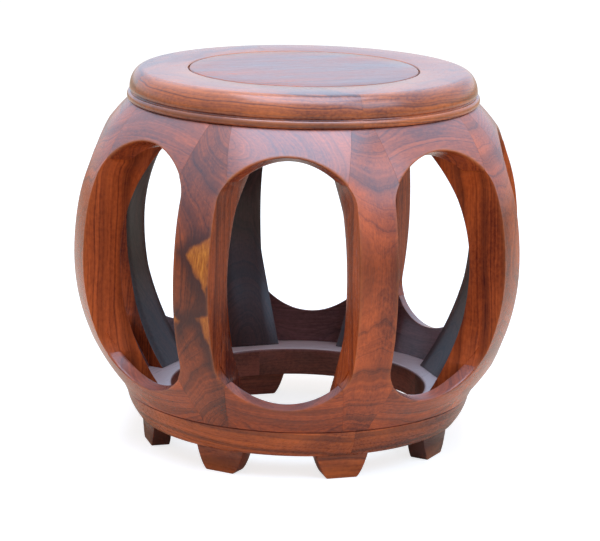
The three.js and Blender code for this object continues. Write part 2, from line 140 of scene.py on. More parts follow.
def bridged(start: tuple[float, float], end: tuple[float, float]) -> Outline:
    """Points on the straight line between two others."""
    (x0, z0), (x1, z1) = start, end
    return [(x0 + (x1 - x0) * share, z0 + (z1 - z0) * share) for share in SILL_SHARES]


def mirrored(right: Outline) -> Outline:
    """A whole outline from its right half."""
    return right + [(-x, z) for x, z in reversed(right)]


def rounded(radius: float, top: float, width: float, height: float, steps: int) -> Outline:
    """Quarter round from an upright face up to a flat top.

    Args:
        radius: Radius of the upright face.
        top: Height of the flat top.
        width: How far the round reaches towards the axis, or away from it if negative.
        height: How far it reaches down.
        steps: How many steps it has.

    Returns:
        Its radii and heights, from the face to the top.
    """
    turns = np.linspace(0, math.pi / 2, steps + 1)
    return [(radius - width * (1 - math.cos(turn)), top - height * (1 - math.sin(turn))) for turn in turns]


@dataclass(frozen=True)
class Barrel:
    """Outer surface of the body: three arcs that meet smoothly, over a narrow band."""

    belly_radius: float = 0.2324
    belly_height: float = 0.2
    lower_arc: float = 0.212
    upper_arc: float = 0.3
    upper_arc_height: float = 0.05
    shoulder_arc: float = 0.175
    bottom: float = 0.0538
    top: float = 0.3487
    band_height: float = 0.0083
    band_taper: float = 0.004

    @property
    def band_top(self) -> float:
        """Height of the upper edge of the band."""
        return self.bottom + self.band_height

    def slope(self, height: float) -> float:
        """Angle of the outside above the belly from upright."""
        rise = max(height - self.belly_height, 0.0)
        lean = min(rise, self.upper_arc_height) / self.upper_arc
        return math.asin(lean + max(rise - self.upper_arc_height, 0.0) / self.shoulder_arc)

    def parallel(self, height: float, depth: float) -> float:
        """Radius of the surface that lies at a depth under the outside."""
        rise = height - self.belly_height
        widest = self.belly_radius - depth
        if rise < 0:
            return widest - sagitta(self.lower_arc - depth, rise)
        bend = math.asin(self.upper_arc_height / self.upper_arc)
        bend_rise = (self.upper_arc - depth) * math.sin(bend)
        if rise < bend_rise:
            return widest - sagitta(self.upper_arc - depth, rise)
        arc = self.shoulder_arc - depth
        setback = (self.upper_arc - self.shoulder_arc) * (1 - math.cos(bend))
        return widest - setback - sagitta(arc, rise - bend_rise + arc * math.sin(bend))

    def radius(self, height: float) -> float:
        """Radius of the outside, with the band that tapers under it."""
        under = max(self.band_top - height, 0.0) / self.band_height
        return self.parallel(max(height, self.band_top), 0.0) - self.band_taper * under


@dataclass(frozen=True)
class Arcade:
    """The openings between the legs, and the slanting seams of legs and aprons."""

    barrel: Barrel
    leg_half_width: float = 0.019
    blank_half_width: float = 0.0255
    top: float = 0.326
    bottom: float = 0.0803
    top_arch: float = 0.043
    bottom_arch: float = 0.044
    seam_at_seat: float = 0.0115
    seam_at_base: float = 0.013
    seam_gap: float = 0.00016

    @property
    def spring_top(self) -> float:
        """Height where the upper arch begins."""
        return self.top - self.top_arch

    @property
    def spring_bottom(self) -> float:
        """Height where the lower arch begins."""
        return self.bottom + self.bottom_arch

    def half_angle(self, height: float) -> float:
        """Half the angle of an opening at a height, on the outside."""
        full = HALF_PITCH - math.asin(self.leg_half_width / self.barrel.radius(height))
        above = max(height - self.spring_top, 0.0) / self.top_arch
        below = max(self.spring_bottom - height, 0.0) / self.bottom_arch
        share = math.sqrt(max(1 - max(above, below) ** 2, 0.0))
        return math.asin(math.sin(full) * share)

    def leg_edge(self, height: float) -> float:
        """Half the width of a leg where the openings bound it."""
        return self.barrel.radius(height) * math.sin(HALF_PITCH - self.half_angle(height))

    def shoulder(self, spring: float, end: float) -> float:
        """Height between two others where a leg is as wide as its blank."""
        return boundary(spring, end, lambda height: self.leg_edge(height) < self.blank_half_width)

    @property
    def shoulders(self) -> tuple[float, float]:
        """Heights where the lower and the upper arch leave a leg."""
        return (self.shoulder(self.spring_bottom, self.bottom), self.shoulder(self.spring_top, self.top))

    def seam(self, height: float) -> float:
        """Half the width of a leg's face where the seams bound it."""
        lower, upper = self.shoulders
        heights = (self.barrel.bottom, lower, upper, self.barrel.top)
        widths = (self.seam_at_base, self.blank_half_width, self.blank_half_width, self.seam_at_seat)
        return float(np.interp(height, heights, widths))

    def end_angle(self, height: float, radius: float) -> float:
        """Angle of an apron's end at a height and a radius."""
        return HALF_PITCH - math.asin((self.seam(height) + self.seam_gap) / radius)

    def edge_at(self, level: Level, angle: float) -> float:
        """Height of an opening's edge at an angle from its middle."""
        upper = level is Level.UPPER
        end, spring = (self.top, self.spring_top) if upper else (self.bottom, self.spring_bottom)
        return boundary(end, spring, lambda height: self.half_angle(height) < abs(angle))

    def arch(self, level: Level, steps: int) -> list[tuple[float, float]]:
        """Angles and heights along the whole arch over or under an opening, from tip to tip."""
        lower, upper = self.shoulders
        if level is Level.UPPER:
            spring, rise, tip = self.spring_top, self.top_arch, upper
        else:
            spring, rise, tip = self.spring_bottom, -self.bottom_arch, lower
        start = math.asin((tip - spring) / rise)
        turns = start + (math.pi / 2 - start) * np.linspace(0, 1, steps + 1)
        heights = [spring + rise * math.sin(turn) for turn in turns]
        half = [(self.half_angle(height), height) for height in heights]
        return [(-angle, height) for angle, height in half] + half[-2::-1]


# Making of pieces


def only(piece: Piece) -> None:
    """Makes a piece the only one that is selected, and the active one."""
    bpy.ops.object.select_all(action="DESELECT")
    piece.select_set(True)
    bpy.context.view_layer.objects.active = piece


def added(name: str) -> Piece:
    """Names the object that was just added."""
    piece = bpy.context.object
    piece.name = name
    return piece


@contextmanager
def editing(piece: Piece) -> Iterator[None]:
    """Opens a piece in edit mode, with all of its faces selected."""
    only(piece)
    bpy.ops.object.mode_set(mode="EDIT")
    bpy.ops.mesh.select_all(action="SELECT")
    yield
    bpy.ops.object.mode_set(mode="OBJECT")


def modify(piece: Piece, kind: str, **settings: object) -> None:
    """Applies a modifier to a piece.

    Args:
        piece: The piece that is changed.
        kind: Type of the modifier.
        settings: Properties of the modifier.
    """
    only(piece)
    bpy.ops.object.modifier_add(type=kind)
    modifier = piece.modifiers[-1]
    for name, value in settings.items():
        setattr(modifier, name, value)
    bpy.ops.object.modifier_apply(modifier=modifier.name)


def ease_edges(piece: Piece, width: float, segments: int, weighted: bool) -> None:
    """Rounds the edges of a piece.

    Args:
        piece: The piece whose edges are rounded.
        width: How far the round reaches from an edge.
        segments: How many faces a round has.
        weighted: True for the edges that were given a weight, False for all sharp ones.
    """
    limit, sharp = "WEIGHT" if weighted else "ANGLE", math.radians(SHARP_DEGREES)
    modify(piece, "BEVEL", width=width, segments=segments, limit_method=limit, angle_limit=sharp)


def smooth(piece: Piece, degrees: float = 35.0) -> None:
    """Shades a piece smooth except at its sharp edges."""
    only(piece)
    bpy.ops.object.shade_smooth_by_angle(angle=math.radians(degrees))


def close_up(piece: Piece) -> None:
    """Merges a piece's doubled points, fills its open ends and turns its faces outwards."""
    with editing(piece):
        bpy.ops.mesh.remove_doubles(threshold=MERGE_DISTANCE)
        bpy.ops.mesh.select_all(action="DESELECT")
        bpy.ops.mesh.select_mode(type="EDGE")
        bpy.ops.mesh.select_non_manifold(
            extend=False, use_wire=False, use_multi_face=False, use_non_contiguous=False, use_verts=False
        )
        bpy.ops.mesh.edge_face_add()
        bpy.ops.mesh.select_mode(type="VERT")
        bpy.ops.mesh.select_all(action="SELECT")
        bpy.ops.mesh.normals_make_consistent(inside=False)


def skinned(name: str, rows: list[list[Vector]], creases: dict[int, list[float]]) -> Piece:
    """Skins a closed body through rows of points that run round its section.

    Args:
        name: Name of the piece.
        rows: The points of each section, all with the same count.
        creases: For a point of the section, the weight of its edge between each two rows.

    Returns:
        The closed body, its weighted edges still sharp.
    """
    count = len(rows[0])
    columns = count + 1
    bpy.ops.object.select_all(action="DESELECT")
    bpy.ops.mesh.primitive_grid_add(x_subdivisions=count, y_subdivisions=len(rows) - 1, size=1)
    piece = added(name)
    for r, row in enumerate(rows):
        for c in range(columns):
            piece.data.vertices[r * columns + c].co = row[c % count]
    weights = piece.data.attributes.new("bevel_weight_edge", "FLOAT", "EDGE")
    for edge in piece.data.edges:
        low, high = sorted(edge.vertices)
        row, column = divmod(low, columns)
        if high == low + columns and column % count in creases:
            weights.data[edge.index].value = creases[column % count][row]
    close_up(piece)
    return piece


def traced(name: str, corners: list[Vector], filled: bool) -> Piece:
    """Draws a closed line through corners, with or without a face in it."""
    bpy.ops.object.select_all(action="DESELECT")
    fill = "NGON" if filled else "NOTHING"
    bpy.ops.mesh.primitive_circle_add(vertices=len(corners), radius=1, fill_type=fill)
    piece = added(name)
    for vertex, corner in zip(piece.data.vertices, corners):
        vertex.co = corner
    return piece


def prism(name: str, outline: Outline, near: float, far: float) -> Piece:
    """Extrudes an outline of (x, z) points between two distances in front of the axis."""
    piece = traced(name, [Vector((x, -near, z)) for x, z in outline], True)
    with editing(piece):
        bpy.ops.mesh.extrude_region_move(TRANSFORM_OT_translate={"value": (0, near - far, 0)})
        bpy.ops.mesh.select_all(action="SELECT")
        bpy.ops.mesh.normals_make_consistent(inside=False)
    return piece


def spun(name: str, outline: Outline, start: float, sweep: float, steps: int) -> Piece:
    """Spins an outline of (radius, height) points about the stool's axis.

    Args:
        name: Name of the piece.
        outline: Points of the outline, closed unless it makes a whole turn from axis to axis.
        start: Angle at which the outline is drawn.
        sweep: Angle that it is spun through.
        steps: How many steps it takes.

    Returns:
        The closed body.
    """
    filled = sweep < 2 * math.pi
    piece = traced(name, [around(radius, start, height) for radius, height in outline], filled)
    with editing(piece):
        bpy.ops.mesh.spin(steps=steps, angle=sweep, center=(0, 0, 0), axis=(0, 0, -1))
        bpy.ops.mesh.select_all(action="SELECT")
        bpy.ops.mesh.remove_doubles(threshold=MERGE_DISTANCE)
        bpy.ops.mesh.normals_make_consistent(inside=False)
    return piece


def quarter(name: str, outline: Outline, joint_gap: float) -> Piece:
    """Spins the first quarter of a ring.

    Args:
        name: Name of the piece.
        outline: Radii and heights of the ring's section.
        joint_gap: How far the quarter stays back from each seam, at the bore.

    Returns:
        The quarter, smooth.
    """
    gap = joint_gap / min(radius for radius, _ in outline)
    piece = spun(name, outline, HALF_PITCH + gap, math.pi / 2 - 2 * gap, 40)
    smooth(piece, SHARP_DEGREES)
    return piece


# Grain, wear and other marks that the finishes read


def points_of(piece: Piece) -> np.ndarray:
    """Places of a piece's points, one row each."""
    places = np.empty(3 * len(piece.data.vertices))
    piece.data.vertices.foreach_get("co", places)
    return places.reshape(-1, 3)


def mark(piece: Piece, name: str, values: np.ndarray) -> None:
    """Writes a mark on each point of a piece: a vector where it has three columns, else a number."""
    vector = values.ndim > 1
    old = piece.data.attributes.get(name)
    layer = old or piece.data.attributes.new(name, "FLOAT_VECTOR" if vector else "FLOAT", "POINT")
    layer.data.foreach_set("vector" if vector else "value", np.ravel(values).astype(np.float32))


def nearness(points: np.ndarray, line: Sequence[Vector], reach: float) -> np.ndarray:
    """How near each point is to a line, from 1 on it to 0 at the reach."""
    track = np.array([tuple(place) for place in line])
    nearest = np.full(len(points), np.inf)
    for place in track:
        nearest = np.minimum(nearest, np.linalg.norm(points - place, axis=1))
    return np.clip(1 - nearest / reach, 0, 1)


def near_ring(points: np.ndarray, radius: float, height: float, reach: float) -> np.ndarray:
    """How near each point is to a ring about the axis, from 1 on it to 0 at the reach."""
    radii = np.hypot(points[:, 0], points[:, 1])
    return np.clip(1 - np.hypot(radii - radius, points[:, 2] - height) / reach, 0, 1)


def mark_faces(piece: Piece, name: str, share: Callable[[Face], float]) -> None:
    """Writes a mark from 0 to 1 on each face of a piece.

    Args:
        piece: The piece that is marked.
        name: Name of the mark.
        share: Gives a face its mark, which is kept within 0 and 1.
    """
    layer = piece.data.attributes.new(name, "FLOAT", "FACE")
    for face in piece.data.polygons:
        layer.data[face.index].value = clamped(share(face))


def outwards(face: Face) -> float:
    """How far a face looks away from the stool's axis, from -1 to 1."""
    centre, normal = face.center, face.normal
    return (normal.x * centre.x + normal.y * centre.y) / max(math.hypot(centre.x, centre.y), 0.001)


def inwards(face: Face) -> float:
    """How far a face looks towards the stool's axis, from 0 where it hardly does to 1."""
    return (-outwards(face) - 0.45) / 0.35


def upwards(face: Face) -> float:
    """How far a face looks up and not inwards, from 0 where it stands upright to 1 where it lies flat."""
    return (1 - clamped(inwards(face))) * (face.normal.z - 0.1) / 0.75


def sheltered(face: Face) -> float:
    """How far a face looks down or sideways into an opening, where there is less polish."""
    return 1.3 - 1.8 * math.hypot(outwards(face), max(face.normal.z, 0.0))


def mark_carved(piece: Piece, edge: list[Vector], wear_and_highlight: float, dust_and_painted_sheen: Callable[[Face], float]) -> None:
    """Marks a leg or an apron.

    Args:
        piece: The piece that is marked.
        edge: Points along the edges that it shows to the openings.
        wear_and_highlight: How worn those edges are, with a painted highlight.
        dust_and_painted_sheen: Gives a face its dust and its painted sheen.
    """
    # Edge wear with a painted highlight along the edges that face the openings.
    mark(piece, "wear_and_highlight", wear_and_highlight * nearness(points_of(piece), edge, EDGE_WEAR_AND_HIGHLIGHT_REACH))
    # The dust mark is dust with a painted sheen on faces that look up.
    # The inside mark is painted shade on the faces towards the axis.
    for name, share in (("inside", inwards), ("dust_and_painted_sheen", dust_and_painted_sheen), ("matt", sheltered)):
        mark_faces(piece, name, share)


@dataclass(frozen=True)
class Board:
    """How a piece lies in the tree that it was sawn from.

    Attributes:
        along: Direction of the grain, in the part's frame before the piece is copied.
        depth: Direction from the pith to the piece's outside.
        centre: Middle of the piece.
        pith: How far the pith lies under that middle.
    """

    along: Vector
    depth: Vector
    centre: Vector
    pith: float

    def grain(
        self,
        points: np.ndarray,
        seed: int,
        pith: float | None = None,
        dip: float = 0.0,
        across: float | None = None,
    ) -> np.ndarray:
        """Places of points in the tree: along it, and across it from the pith.

        Args:
            points: Places of the piece's points.
            seed: Which stretch of the tree is used.
            pith: Another depth of the pith, if the piece has its own.
            dip: How far the grain dives under the outside, in degrees.
            across: How far the pith lies to one side, else it is random.

        Returns:
            One row of (along, across, depth) for each point.
        """
        rng = np.random.default_rng(seed)
        stretch = rng.uniform(-STRETCH_REACH, STRETCH_REACH)
        aside = rng.uniform(-PITH_REACH, PITH_REACH)
        shift = (stretch, aside if across is None else across, self.pith if pith is None else pith)
        axes = np.array([tuple(axis) for axis in (self.along, self.depth.cross(self.along), self.depth)])
        local = (points - np.array(tuple(self.centre))) @ axes.T
        cos, sin = math.cos(math.radians(dip)), math.sin(math.radians(dip))
        return local @ np.array([[cos, 0, sin], [0, 1, 0], [-sin, 0, cos]]).T + shift


# Finishes


class Tree:
    """A node tree that nodes are added to and linked in."""

    def __init__(self, tree: NodeTree) -> None:
        """Empties a node tree."""
        self.tree = tree
        tree.nodes.clear()

    def add(self, kind: str, inputs: dict | None = None, **settings: object) -> bpy.types.Node:
        """Adds a node.

        Args:
            kind: Type of the node.
            inputs: Values or sockets for its inputs, by name or number.
            settings: Other properties of the node.

        Returns:
            The new node.
        """
        node = self.tree.nodes.new(kind)
        for name, value in settings.items():
            setattr(node, name, value)
        for key, value in (inputs or {}).items():
            if isinstance(value, Socket):
                self.tree.links.new(value, node.inputs[key])
            else:
                node.inputs[key].default_value = value
        return node

    def math(self, operation: str, *values: object, clamp: bool = False) -> Socket:
        """Result of a sum of one to three values or sockets."""
        inputs = dict(enumerate(values))
        return self.add("ShaderNodeMath", inputs, operation=operation, use_clamp=clamp).outputs[0]

    def vector(self, operation: str, first: object, second: object) -> Socket:
        """Result of a sum of two vectors."""
        return self.add("ShaderNodeVectorMath", {0: first, 1: second}, operation=operation).outputs[0]

    def dot(self, first: object, second: object) -> Socket:
        """Dot product of two vectors."""
        inputs = {0: first, 1: second}
        return self.add("ShaderNodeVectorMath", inputs, operation="DOT_PRODUCT").outputs["Value"]

    def mark(self, name: str) -> Socket:
        """A mark of the piece, as a number."""
        return self.add("ShaderNodeAttribute", attribute_name=name).outputs["Fac"]

    def noise(
        self, vector: object, scale: float, detail: float, roughness: float = 0.5, output: str = "Fac"
    ) -> Socket:
        """Noise at a place."""
        inputs = {"Vector": vector, "Scale": scale, "Detail": detail, "Roughness": roughness}
        return self.add("ShaderNodeTexNoise", inputs).outputs[output]

    def swing(self, *noise: object) -> Socket:
        """Random shift at a place, up to a half each way."""
        return self.vector("SUBTRACT", self.noise(*noise, output="Color"), (0.5, 0.5, 0.5))

    def bands(self, place: object, detail: float, roughness: float) -> Socket:
        """Noise along one number, for year rings."""
        inputs = {"W": place, "Scale": 1.0, "Detail": detail, "Roughness": roughness}
        return self.add("ShaderNodeTexNoise", inputs, noise_dimensions="1D").outputs["Fac"]

    def between(self, value: object, low: float, high: float) -> Socket:
        """Rises smoothly from 0 to 1 while a value goes from low to high."""
        inputs = {"Value": value, "From Min": low, "From Max": high}
        return self.add("ShaderNodeMapRange", inputs, interpolation_type="SMOOTHSTEP").outputs[0]

    def mix(self, share: object, first: object, second: object) -> Socket:
        """Mixes two colours."""
        return self.add("ShaderNodeMix", {0: share, 6: first, 7: second}, data_type="RGBA").outputs[2]

    def effect(self, group: NodeTree, inputs: dict) -> bpy.types.bpy_prop_collection:
        """Outputs of a shared effect, added with its inputs."""
        return self.add("ShaderNodeGroup", inputs, node_tree=group).outputs


class Group(Tree):
    """A shared effect while it is being made.

    Attributes:
        given: Its input sockets, by name.
    """

    def __init__(self, name: str, inputs: dict[str, str], outputs: dict[str, str]) -> None:
        """Starts the effect from its name and the type of socket of each input and output."""
        super().__init__(bpy.data.node_groups.new(name, "ShaderNodeTree"))
        for way, sockets in (("INPUT", inputs), ("OUTPUT", outputs)):
            for label, kind in sockets.items():
                self.tree.interface.new_socket(label, in_out=way, socket_type=f"NodeSocket{kind}")
        start = self.add("NodeGroupInput")
        self.given = {label: start.outputs[label] for label in inputs}

    def hand_out(self, **results: Socket) -> NodeTree:
        """Links the results to the outputs of their names."""
        self.add("NodeGroupOutput", results)
        return self.tree


def rosewood_grain() -> NodeTree:
    """Figure of rosewood: year rings round a pith, dark streaks, fibres and pores."""
    colours = dict.fromkeys(("Heart", "Flame", "Streak"), "Color")
    numbers = dict.fromkeys(("Tone", "Swirl", "Rings", "Streaking"), "Float")
    outputs = {"Color": "Color", "Roughness": "Float", "Height": "Float", "Light": "Float"}
    tree = Group("rosewood_grain", {"Grain": "Vector", **colours, **numbers}, outputs)
    given, grain = tree.given, tree.given["Grain"]
    long = tree.vector("MULTIPLY", grain, (0.3, 1.0, 1.0))
    slow, quick = tree.swing(long, 16.0, 2.0), tree.swing(long, 75.0, 2.0)
    sway = tree.add("ShaderNodeVectorMath", {0: slow, "Scale": given["Swirl"]}, operation="SCALE").outputs[0]
    ripple = tree.vector("MULTIPLY", quick, (0.003, 0.003, 0.003))
    warped = tree.vector("ADD", tree.vector("ADD", grain, sway), ripple)
    parts = tree.add("ShaderNodeSeparateXYZ", {0: warped}).outputs
    flat = tree.add("ShaderNodeCombineXYZ", {1: parts[1], 2: parts[2]}).outputs[0]
    radius = tree.add("ShaderNodeVectorMath", {0: flat}, operation="LENGTH").outputs["Value"]
    drift = tree.math("MULTIPLY_ADD", parts[0], 0.03, radius)
    ring = tree.math("MULTIPLY", drift, given["Rings"])
    band = tree.bands(ring, 4.0, 0.75)
    wide = tree.bands(tree.math("MULTIPLY_ADD", ring, 0.21, 40.0), 2.0, 0.55)
    fibre = tree.noise(tree.vector("MULTIPLY", warped, (14.0, 620.0, 620.0)), 1.0, 3.0, 0.65)
    pores = tree.noise(tree.vector("MULTIPLY", grain, (110.0, 1500.0, 1500.0)), 1.0, 1.0)
    pore = tree.between(pores, 0.62, 0.74)
    cloud = tree.noise(tree.vector("MULTIPLY", warped, (7.0, 24.0, 24.0)), 1.0, 3.0)
    mottle = tree.noise(tree.vector("MULTIPLY", warped, (240.0, 330.0, 330.0)), 1.0, 3.0, 0.6)
    light = given["Tone"]
    for layer, weight in ((band, 1.0), (fibre, 0.9), (mottle, 0.8), (cloud, 1.9)):
        light = tree.math("MULTIPLY_ADD", layer, weight, light)
    light = tree.math("SUBTRACT", light, 1.78, clamp=True)
    dark = tree.between(tree.math("MULTIPLY_ADD", fibre, 0.2, wide), 0.6, 0.76)
    dark = tree.math("MULTIPLY", dark, given["Streaking"], clamp=True)
    weight = tree.math("MULTIPLY_ADD", given["Streaking"], 0.7, 0.08)
    thin = tree.math("MULTIPLY", tree.between(band, 0.45, 0.33), weight)
    colour = tree.mix(light, given["Heart"], given["Flame"])
    for share in (dark, thin, tree.math("MULTIPLY", pore, 0.3)):
        colour = tree.mix(share, colour, given["Streak"])
    rough = tree.math("MULTIPLY_ADD", fibre, 0.14, 0.17)
    rough = tree.math("MULTIPLY_ADD", pore, 0.1, rough)
    height = tree.math("MULTIPLY_ADD", pore, -0.6, fibre)
    return tree.hand_out(Color=colour, Roughness=rough, Height=height, Light=light)


def worn_and_highlight_edges() -> NodeTree:
    """Wear and painted highlight on eased edges: lighter orange where the stain has rubbed thin and where the
    edges catch the light.
    """
    inputs = {"Color": "Color", "Roughness": "Float", "Grain": "Vector", "WearAndHighlight": "Float", "WornAndHighlight": "Color"}
    tree = Group("worn_and_highlight_edges", inputs, {"Color": "Color", "Roughness": "Float"})
    given = tree.given
    patchy = tree.math("MULTIPLY_ADD", tree.noise(given["Grain"], 70.0, 3.0), 1.1, 0.1)
    share = tree.math("MULTIPLY", patchy, given["WearAndHighlight"], clamp=True)
    colour = tree.mix(share, given["Color"], given["WornAndHighlight"])
    rough = tree.math("MULTIPLY_ADD", share, 0.06, given["Roughness"])
    return tree.hand_out(Color=colour, Roughness=rough)


def sapwood_wedge() -> NodeTree:
    """Depth of a place within a three-cornered streak of pale sapwood, with a ragged edge."""
    sides = ("First", "Second", "Third")
    tree = Group("sapwood_wedge", dict.fromkeys(("Place", *sides), "Vector"), {"Depth": "Float"})
    given = tree.given
    rag = tree.swing(tree.vector("MULTIPLY", given["Place"], (85.0, 45.0, 0.0)), 1.0, 4.0, 0.55)
    place = tree.vector("ADD", given["Place"], tree.vector("MULTIPLY", rag, (0.014, 0.014, 0.0)))
    first, second, third = (tree.dot(place, given[side]) for side in sides)
    return tree.hand_out(Depth=tree.math("MINIMUM", tree.math("MINIMUM", first, second), third))


def opaque(colour: Colour) -> tuple[float, float, float, float]:
    """A colour with its alpha."""
    return (*colour, 1.0)


@dataclass(frozen=True)
class Wedge:
    """A three-cornered streak of sapwood on the outside of a leg.

    Attributes:
        corners: Distance across the leg's face and height of each corner, going round to the left.
    """

    corners: tuple[tuple[float, float], tuple[float, float], tuple[float, float]]

    def sides(self) -> list[Place]:
        """For each side, the vector whose product with (across, height, 1) is the depth behind it."""
        sides = []
        for (x0, z0), (x1, z1) in zip(self.corners, self.corners[1:] + self.corners[:1]):
            length = math.hypot(x1 - x0, z1 - z0)
            normal = (-(z1 - z0) / length, (x1 - x0) / length)
            sides.append((*normal, -(normal[0] * x0 + normal[1] * z0)))
        return sides


@dataclass(frozen=True)
class Rosewood:
    """One finish of the stool's rosewood.

    Attributes:
        name: Name of the finish.
        slot: The record's slot that it belongs to.
        heart: Colour of the darker wood.
        flame: Colour of the lighter wood.
        streak: Colour of the dark streaks and of the pores.
        inner: Colour of the painted shade that darkens the faces towards the axis.
        rings: Year rings in a metre.
        swirl: How far the grain sways, in metres.
        streaking: How strong the dark streaks are.
        gloss: How much the finish smooths the wood, taken off its roughness.
        specular: Shine of the wood under the clear coat.
        coat: Weight of the clear coat where the wood is densest.
        figure: How much less the coat shows on the lighter wood.
        wedges: The wedges of sapwood that show in the wood.
        wedge_angle: Angle of the leg that they are on.
        worn_and_highlight: Colour of the worn edges and of the highlight painted on them.
        dust_and_painted_sheen: Colour of the haze of dust and painted lavender sheen on faces that look up.
        rim: Colour of the dark rim round a wedge.
        amber: Colour of a wedge just inside its rim.
        pale: Darker and lighter colour of the sapwood.
    """

    name: str
    slot: Slot
    heart: Colour = (0.100, 0.014, 0.007)
    flame: Colour = (0.48, 0.090, 0.022)
    streak: Colour = (0.030, 0.008, 0.008)
    inner: Colour = (0.024, 0.014, 0.015)
    rings: float = 380.0
    swirl: float = 0.02
    streaking: float = 0.55
    gloss: float = 0.0
    specular: float = 0.12
    coat: float = 0.6
    figure: float = 0.2
    wedges: tuple[Wedge, ...] = ()
    wedge_angle: float = -22.5
    worn_and_highlight: Colour = (0.50, 0.14, 0.035)
    dust_and_painted_sheen: Colour = (0.70, 0.57, 0.61)
    rim: Colour = (0.045, 0.012, 0.012)
    amber: Colour = (0.34, 0.085, 0.014)
    pale: tuple[Colour, Colour] = ((0.31, 0.075, 0.010), (0.56, 0.185, 0.022))

    def make(self, groups: dict[str, NodeTree]) -> Material:
        """Makes the material of this finish.

        Args:
            groups: The shared effects, by name.

        Returns:
            The material.
        """
        material = bpy.data.materials.new(self.name)
        material.use_nodes = True
        tree = Tree(material.node_tree)
        grain = tree.add("ShaderNodeAttribute", attribute_name="grain").outputs["Vector"]
        inside, matt = tree.mark("inside"), tree.mark("matt")
        figure = {"Grain": grain, "Tone": tree.mark("tone")}
        figure |= {"Heart": opaque(self.heart), "Flame": opaque(self.flame), "Streak": opaque(self.streak)}
        figure |= {"Swirl": self.swirl, "Rings": self.rings, "Streaking": self.streaking}
        wood = tree.effect(groups["rosewood_grain"], figure)
        colour, light = wood["Color"], wood["Light"]
        if self.wedges:
            colour = self.with_sapwood(tree, colour, groups["sapwood_wedge"])
        # Worn edges with a painted highlight: a lighter orange along the eased edges.
        edges = {"Color": colour, "Roughness": wood["Roughness"], "Grain": grain}
        edges |= {"WearAndHighlight": tree.mark("wear_and_highlight"), "WornAndHighlight": opaque(self.worn_and_highlight)}
        edges = tree.effect(groups["worn_and_highlight_edges"], edges)
        # Painted shade: faces towards the axis are darkened towards the inner colour.
        shades = [opaque([share * part for part in self.inner]) for share in (0.45, 1.9)]
        painted_shade = tree.mix(light, *shades)
        colour = tree.mix(tree.math("MULTIPLY", inside, 0.9), edges["Color"], painted_shade)
        # Painted sheen, partly dust: faces that look up are tinted towards a pale lavender.
        colour = tree.mix(tree.math("MULTIPLY", tree.mark("dust_and_painted_sheen"), 0.85), colour, opaque(self.dust_and_painted_sheen))
        coat = tree.math("MULTIPLY_ADD", light, -self.figure * self.coat, self.coat)
        coat = tree.math("MULTIPLY", coat, tree.math("MULTIPLY_ADD", matt, -0.9, 1.0))
        rough = tree.math("SUBTRACT", edges["Roughness"], self.gloss)
        bump = tree.add("ShaderNodeBump", {"Strength": 0.12, "Distance": 0.0005, "Height": wood["Height"]})
        surface = {
            "Base Color": colour,
            "Roughness": tree.math("MULTIPLY_ADD", inside, 0.12, rough),
            "Normal": bump.outputs[0],
            "Specular IOR Level": tree.math("MULTIPLY_ADD", matt, -0.5 * self.specular, self.specular),
            "Coat Weight": coat,
            "Coat Roughness": 0.26,
        }
        shader = tree.add("ShaderNodeBsdfPrincipled", surface)
        tree.add("ShaderNodeOutputMaterial", {0: shader.outputs[0]})
        return material

    def with_sapwood(self, tree: Tree, colour: Socket, group: NodeTree) -> Socket:
        """Lays the wedges of sapwood, each with a dark rim, over the wood.

        Args:
            tree: Node tree of the finish.
            colour: Colour of the wood.
            group: The shared effect that draws a wedge.

        Returns:
            The colour with the wedges on it.
        """
        place = tree.add("ShaderNodeTexCoord").outputs["Object"]
        leg = math.radians(self.wedge_angle)
        across = tree.dot(place, (math.cos(leg), math.sin(leg), 0))
        height = tree.add("ShaderNodeSeparateXYZ", {0: place}).outputs[2]
        on_face = tree.add("ShaderNodeCombineXYZ", {0: across, 1: height, 2: 1.0}).outputs[0]
        skin = tree.between(tree.math("ABSOLUTE", across), 0.0188, 0.018)
        speck = tree.noise(tree.vector("MULTIPLY", place, (620.0, 620.0, 75.0)), 1.0, 4.0, 0.65)
        pale = tree.mix(tree.between(speck, 0.36, 0.64), *(opaque(shade) for shade in self.pale))
        for wedge in self.wedges:
            sides = dict(zip(("First", "Second", "Third"), wedge.sides()))
            depth = tree.effect(group, {"Place": on_face, **sides})[0]
            amber = tree.mix(tree.between(depth, 0.0, 0.006), opaque(self.amber), pale)
            layers = ((-0.016, -0.002, 0.85, opaque(self.rim)), (-0.0015, 0.0025, 0.94, amber))
            for low, high, weight, shade in layers:
                share = tree.math("MULTIPLY", tree.between(depth, low, high), weight)
                colour = tree.mix(tree.math("MULTIPLY", share, skin), colour, shade)
        return colour


# The stool's pieces


